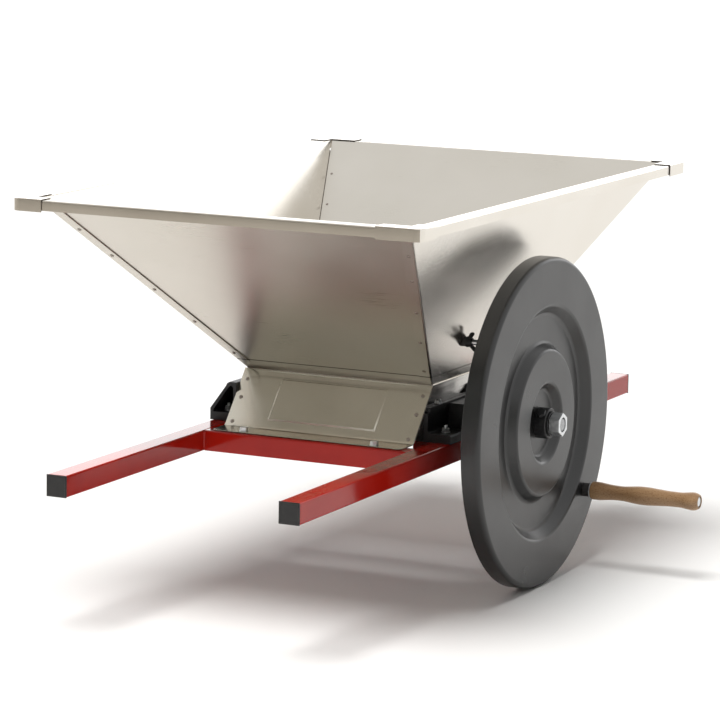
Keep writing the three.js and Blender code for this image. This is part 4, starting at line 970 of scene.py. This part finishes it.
add(tree, "ShaderNodeOutputMaterial", {"Surface": shader})
place_piece("cast_flywheel", spun(rounded_profile(WHEEL_PROFILE), WHEEL_STEPS, SHAFT_PLACE),
            wheel_black, "rotor", ["flywheel"])

# Hub fastening: a black steel collar with a leaning set bolt, a plain washer and a big plated
# nut on the shaft's threaded end.
for name, node, rounding in (
    ("blackened_hub_collar", "hub_collar", 0.6 * mm),
    ("blackened_hub_washer", "hub_washer", 0.4 * mm),
    ("blackened_set_bolt", "hub_set_bolt", 0.5 * mm),
):
    dress(name, node, casting_black, "rotor", rounding)
dress("plated_hub_nut", "hub_nut", zinc_plate, "rotor", 0.8 * mm, crease=30)

# Crank: a turned beech grip runs free on a shouldered spindle, which is nutted through the
# wheel. A black spacer and a plated washer keep it off the wheel's face.
CRANK_Y = 147.92 * mm
CRANK_Z = -69.93 * mm
CRANK_PLACE = Matrix.Translation((0, CRANK_Y, CRANK_Z)) @ Matrix.Rotation(pi / 2, 4, "Y")
GRIP_START = 302  # mm along X, as the profile's numbers are
GRIP_STEPS = 48
GRIP_PROFILE = [  # along, radius; the bore steps in at 160 over the spindle's head
    (0, 5.1), (0, 11.7), (0.3, 12.5), (2, 13.2), (9, 13.3), (14, 13.2), (21, 12.3), (28, 11.5),
    (36, 10.9), (43.5, 10.7), (51, 10.9), (58.5, 11.7), (64, 12.3), (70, 13.0), (76, 13.4),
    (82, 13.5), (88, 13.4), (95, 13.0), (103, 12.4), (110, 11.9), (117, 11.4), (123.5, 11.2),
    (129.5, 11.1), (135.5, 11.0), (141, 11.3), (147, 12.1), (152, 12.8), (156, 13.2),
    (159.5, 13.0), (162, 12.4), (164.2, 11.6), (165.7, 10.8), (166.6, 10.0), (167, 9.3),
    (167, 8.2), (160, 8.2), (160, 5.1),
]

# Beech, turned and lacquered: pale brown with short dark flecks about 2 mm long and slow
# bands along the stick. The lacquer gives a soft gloss over the wood.
lacquered_beech, tree, place = new_material("lacquered_beech")
stick = add(tree, "ShaderNodeMapping", {
    "Vector": place, "Scale": (1 / (71.4 * mm), 1 / (8.33 * mm), 1 / (8.33 * mm))})
bands = add(tree, "ShaderNodeTexNoise", {
    "Vector": stick, "Scale": 1, "Detail": 5, "Distortion": 0.4})
fibres = add(tree, "ShaderNodeMapping", {
    "Vector": place, "Scale": (1 / (2.86 * mm), 1 / (0.556 * mm), 1 / (0.556 * mm))})
flecks = add(tree, "ShaderNodeTexNoise", {"Vector": fibres, "Scale": 1, "Detail": 1})
shade = add(tree, "ShaderNodeMapRange", {"Value": bands, **NOISE_REACH})
wood = add(tree, "ShaderNodeMix", {"Factor": shade, "A": linear("8C6C4C"),
                                   "B": linear("A88763")}, data_type="RGBA")
dark = add(tree, "ShaderNodeMapRange", {"Value": flecks, "From Min": 0.58, "From Max": 0.68})
color = add(tree, "ShaderNodeMix", {"Factor": dark, "A": wood, "B": linear("B59A80")},
            data_type="RGBA", blend_type="MULTIPLY")
rough = add(tree, "ShaderNodeMapRange", {"Value": shade, "To Min": 0.34, "To Max": 0.46})
bump = add(tree, "ShaderNodeBump", {"Height": flecks, "Distance": 0.04 * mm, "Strength": 0.3})
shader = add(tree, "ShaderNodeBsdfPrincipled", {
    "Base Color": color, "Roughness": rough, "Coat Weight": 0.1, "Coat Roughness": 0.25,
    "Normal": bump})
add(tree, "ShaderNodeOutputMaterial", {"Surface": shader})
profile = rounded_profile([(GRIP_START + along, radius, 0) for along, radius in GRIP_PROFILE])
place_piece("turned_beech_grip", spun(profile, GRIP_STEPS, CRANK_PLACE), lacquered_beech,
            "grip", ["crank_grip"], crease=45)
dress("moulded_crank_spacer", "crank_spacer", plug_black, "rotor", 0.5 * mm)
for name, node, rounding in (
    ("plated_crank_washer", "crank_washer", 0.3 * mm),
    ("plated_crank_spindle", "crank_spindle", 0.3 * mm),
    ("plated_spindle_nut", "crank_spindle_nut", 0.5 * mm),
):
    dress(name, node, zinc_plate, "rotor", rounding)

# Feed flap: a stainless sheet rolled round a zinc-plated cross rod in the throat. A black
# nylon wing nut stands on a wedge washer at each end of the rod, to clamp the flap.
ROD_Y = -48 * mm
ROD_Z = 167 * mm
WEDGE = 12 * mm
WEDGE_X = 177.1 * mm
WEDGE_ROUNDING = 0.8 * mm
dress("plated_flap_rod", "flap_rod", zinc_plate, "frame", 0.4 * mm)
dress("rolled_feed_flap", "feed_flap", stainless_across, "flap", 0.2 * mm,
      segments=1)
shape = bmesh.new()
for flip_x in (1, -1):
    wedge = bmesh.new()
    bmesh.ops.create_cube(wedge, size=WEDGE)
    bmesh.ops.translate(wedge, vec=(WEDGE_X, ROD_Y, ROD_Z), verts=wedge.verts)
    bmesh.ops.bisect_plane(  # along the sheet's outside
        wedge, geom=wedge.verts[:] + wedge.edges[:] + wedge.faces[:],
        plane_co=(corner_x(ROD_Z) + 1.5 * mm, 0, ROD_Z),
        plane_no=(-RISE, 0, MOUTH_X - THROAT_X), clear_outer=True)
    bmesh.ops.holes_fill(wedge, edges=wedge.edges[:], sides=0)
    bmesh.ops.bevel(wedge, geom=wedge.edges[:], offset=WEDGE_ROUNDING, segments=2, profile=0.5,
                    affect="EDGES", material=-1, clamp_overlap=True)
    bmesh.ops.scale(wedge, vec=(flip_x, 1, 1), verts=wedge.verts)
    bmesh.ops.recalc_face_normals(wedge, faces=wedge.faces)
    join_shape(shape, wedge)
place_piece("wedge_washers", shape, plug_black, "frame", crease=30)
for side in ("right", "left"):
    dress(f"moulded_wing_nut_{side}", f"wing_nut_{side}", plug_black,
          f"wing_nut_{side}_body", 0.7 * mm)

# Studio: a plain pale floor out to the edge of the camera's view, a white surround, a soft
# lamp overhead that gives the shadow, a wide soft box low behind the mill and a grey wall behind
# the camera, both out of view, that the bright steel mirrors. The camera is where the
# photograph's was.
FLOOR_HALF = 40
FLOOR_BELOW = 0.5 * mm  # a gap under the mill, so that nothing touches
SEEN_SURROUND = 1.0  # of the white surround in the camera's view and in mirrors
LIT_SURROUND = 0.2  # of the light that it gives to matt surfaces
CAMERA_PLACE = (2.22766, -4.66216, 0.98115)
CAMERA_LENS = 180.32  # mm on a sensor 36 mm wide
YAW, PITCH, ROLL = 0.447, 0.1656, 0.0173  # radians: to the left, down, and about the view


def studio_panel(name, half, place, color):
    """A matt square panel that reaches so far each way from its middle, then is placed."""
    shape = bmesh.new()
    bmesh.ops.create_grid(shape, x_segments=1, y_segments=1, size=half)
    bmesh.ops.transform(shape, matrix=place, verts=shape.verts)
    mesh = bpy.data.meshes.new(name)
    shape.to_mesh(mesh)
    shape.free()
    panel = bpy.data.objects.new(name, mesh)
    bpy.context.scene.collection.objects.link(panel)
    matt, tree, _ = new_material(name)
    shader = add(tree, "ShaderNodeBsdfPrincipled", {
        "Base Color": linear(color), "Roughness": 0.9})
    add(tree, "ShaderNodeOutputMaterial", {"Surface": shader})
    mesh.materials.append(matt)
    return panel


studio_panel("studio_floor", FLOOR_HALF,
             Matrix.Translation((0, 0, cad_box[0][2] - FLOOR_BELOW)), "F4F3F1")
wall = studio_panel("studio_wall_behind_the_camera", 3, Matrix.Translation((0, -7, 2.8))
                    @ Matrix.Diagonal((3, 1, 1, 1)) @ Matrix.Rotation(pi / 2, 4, "X"), "CFCFCA")
wall.visible_camera = False

world = bpy.data.worlds.new("studio_surround")
bpy.context.scene.world = world
world.use_nodes = True
tree = world.node_tree
tree.nodes.clear()
path = add(tree, "ShaderNodeLightPath")
seen = add(tree, "ShaderNodeMath", {0: path.outputs["Is Camera Ray"],
                                    1: path.outputs["Is Glossy Ray"]}, operation="MAXIMUM")
seen = add(tree, "ShaderNodeMath", {0: seen, 1: path.outputs["Is Transmission Ray"]},
           operation="MAXIMUM")
level = add(tree, "ShaderNodeMapRange", {
    "Value": seen, "To Min": LIT_SURROUND, "To Max": SEEN_SURROUND})
light = add(tree, "ShaderNodeBackground", {"Color": linear("FFFFFF"), "Strength": level})
add(tree, "ShaderNodeOutputWorld", {"Surface": light})


def lamp(kind, name, place, target, energy):
    """A lamp at a place that looks at a target."""
    light = bpy.data.lights.new(name, kind)
    light.energy = energy
    holder = bpy.data.objects.new(name, light)
    holder.location = place
    holder.rotation_euler = (Vector(target) - Vector(place)).to_track_quat("-Z", "Y").to_euler()
    bpy.context.scene.collection.objects.link(holder)
    return holder


overhead = lamp("SUN", "overhead_lamp", (-0.4, -1.0, 4), (0, 0, 0), 3.1)
overhead.data.angle = radians(28)
overhead.visible_glossy = False  # no mirrored sun on the bright sheets
soft_box = lamp("AREA", "low_soft_box", (-3.6, 16, 4.6), (0, 0, 0.3), 800)
soft_box.data.shape = "RECTANGLE"
soft_box.data.size = 25
soft_box.data.size_y = 7.6

camera = bpy.data.objects.new("camera", bpy.data.cameras.new("camera"))
camera.data.sensor_width = 36
camera.data.lens = CAMERA_LENS
ahead = Vector((-sin(YAW) * cos(PITCH), cos(YAW) * cos(PITCH), -sin(PITCH)))
across = Vector((cos(YAW), sin(YAW), 0))
up = across.cross(ahead)
right = across * cos(ROLL) + up * sin(ROLL)
above = up * cos(ROLL) - across * sin(ROLL)
camera.matrix_world = Matrix.Translation(CAMERA_PLACE) @ Matrix((
    (right.x, above.x, -ahead.x), (right.y, above.y, -ahead.y), (right.z, above.z, -ahead.z),
)).to_4x4()
bpy.context.scene.collection.objects.link(camera)
bpy.context.scene.camera = camera
bpy.context.scene.view_settings.view_transform = "Standard"
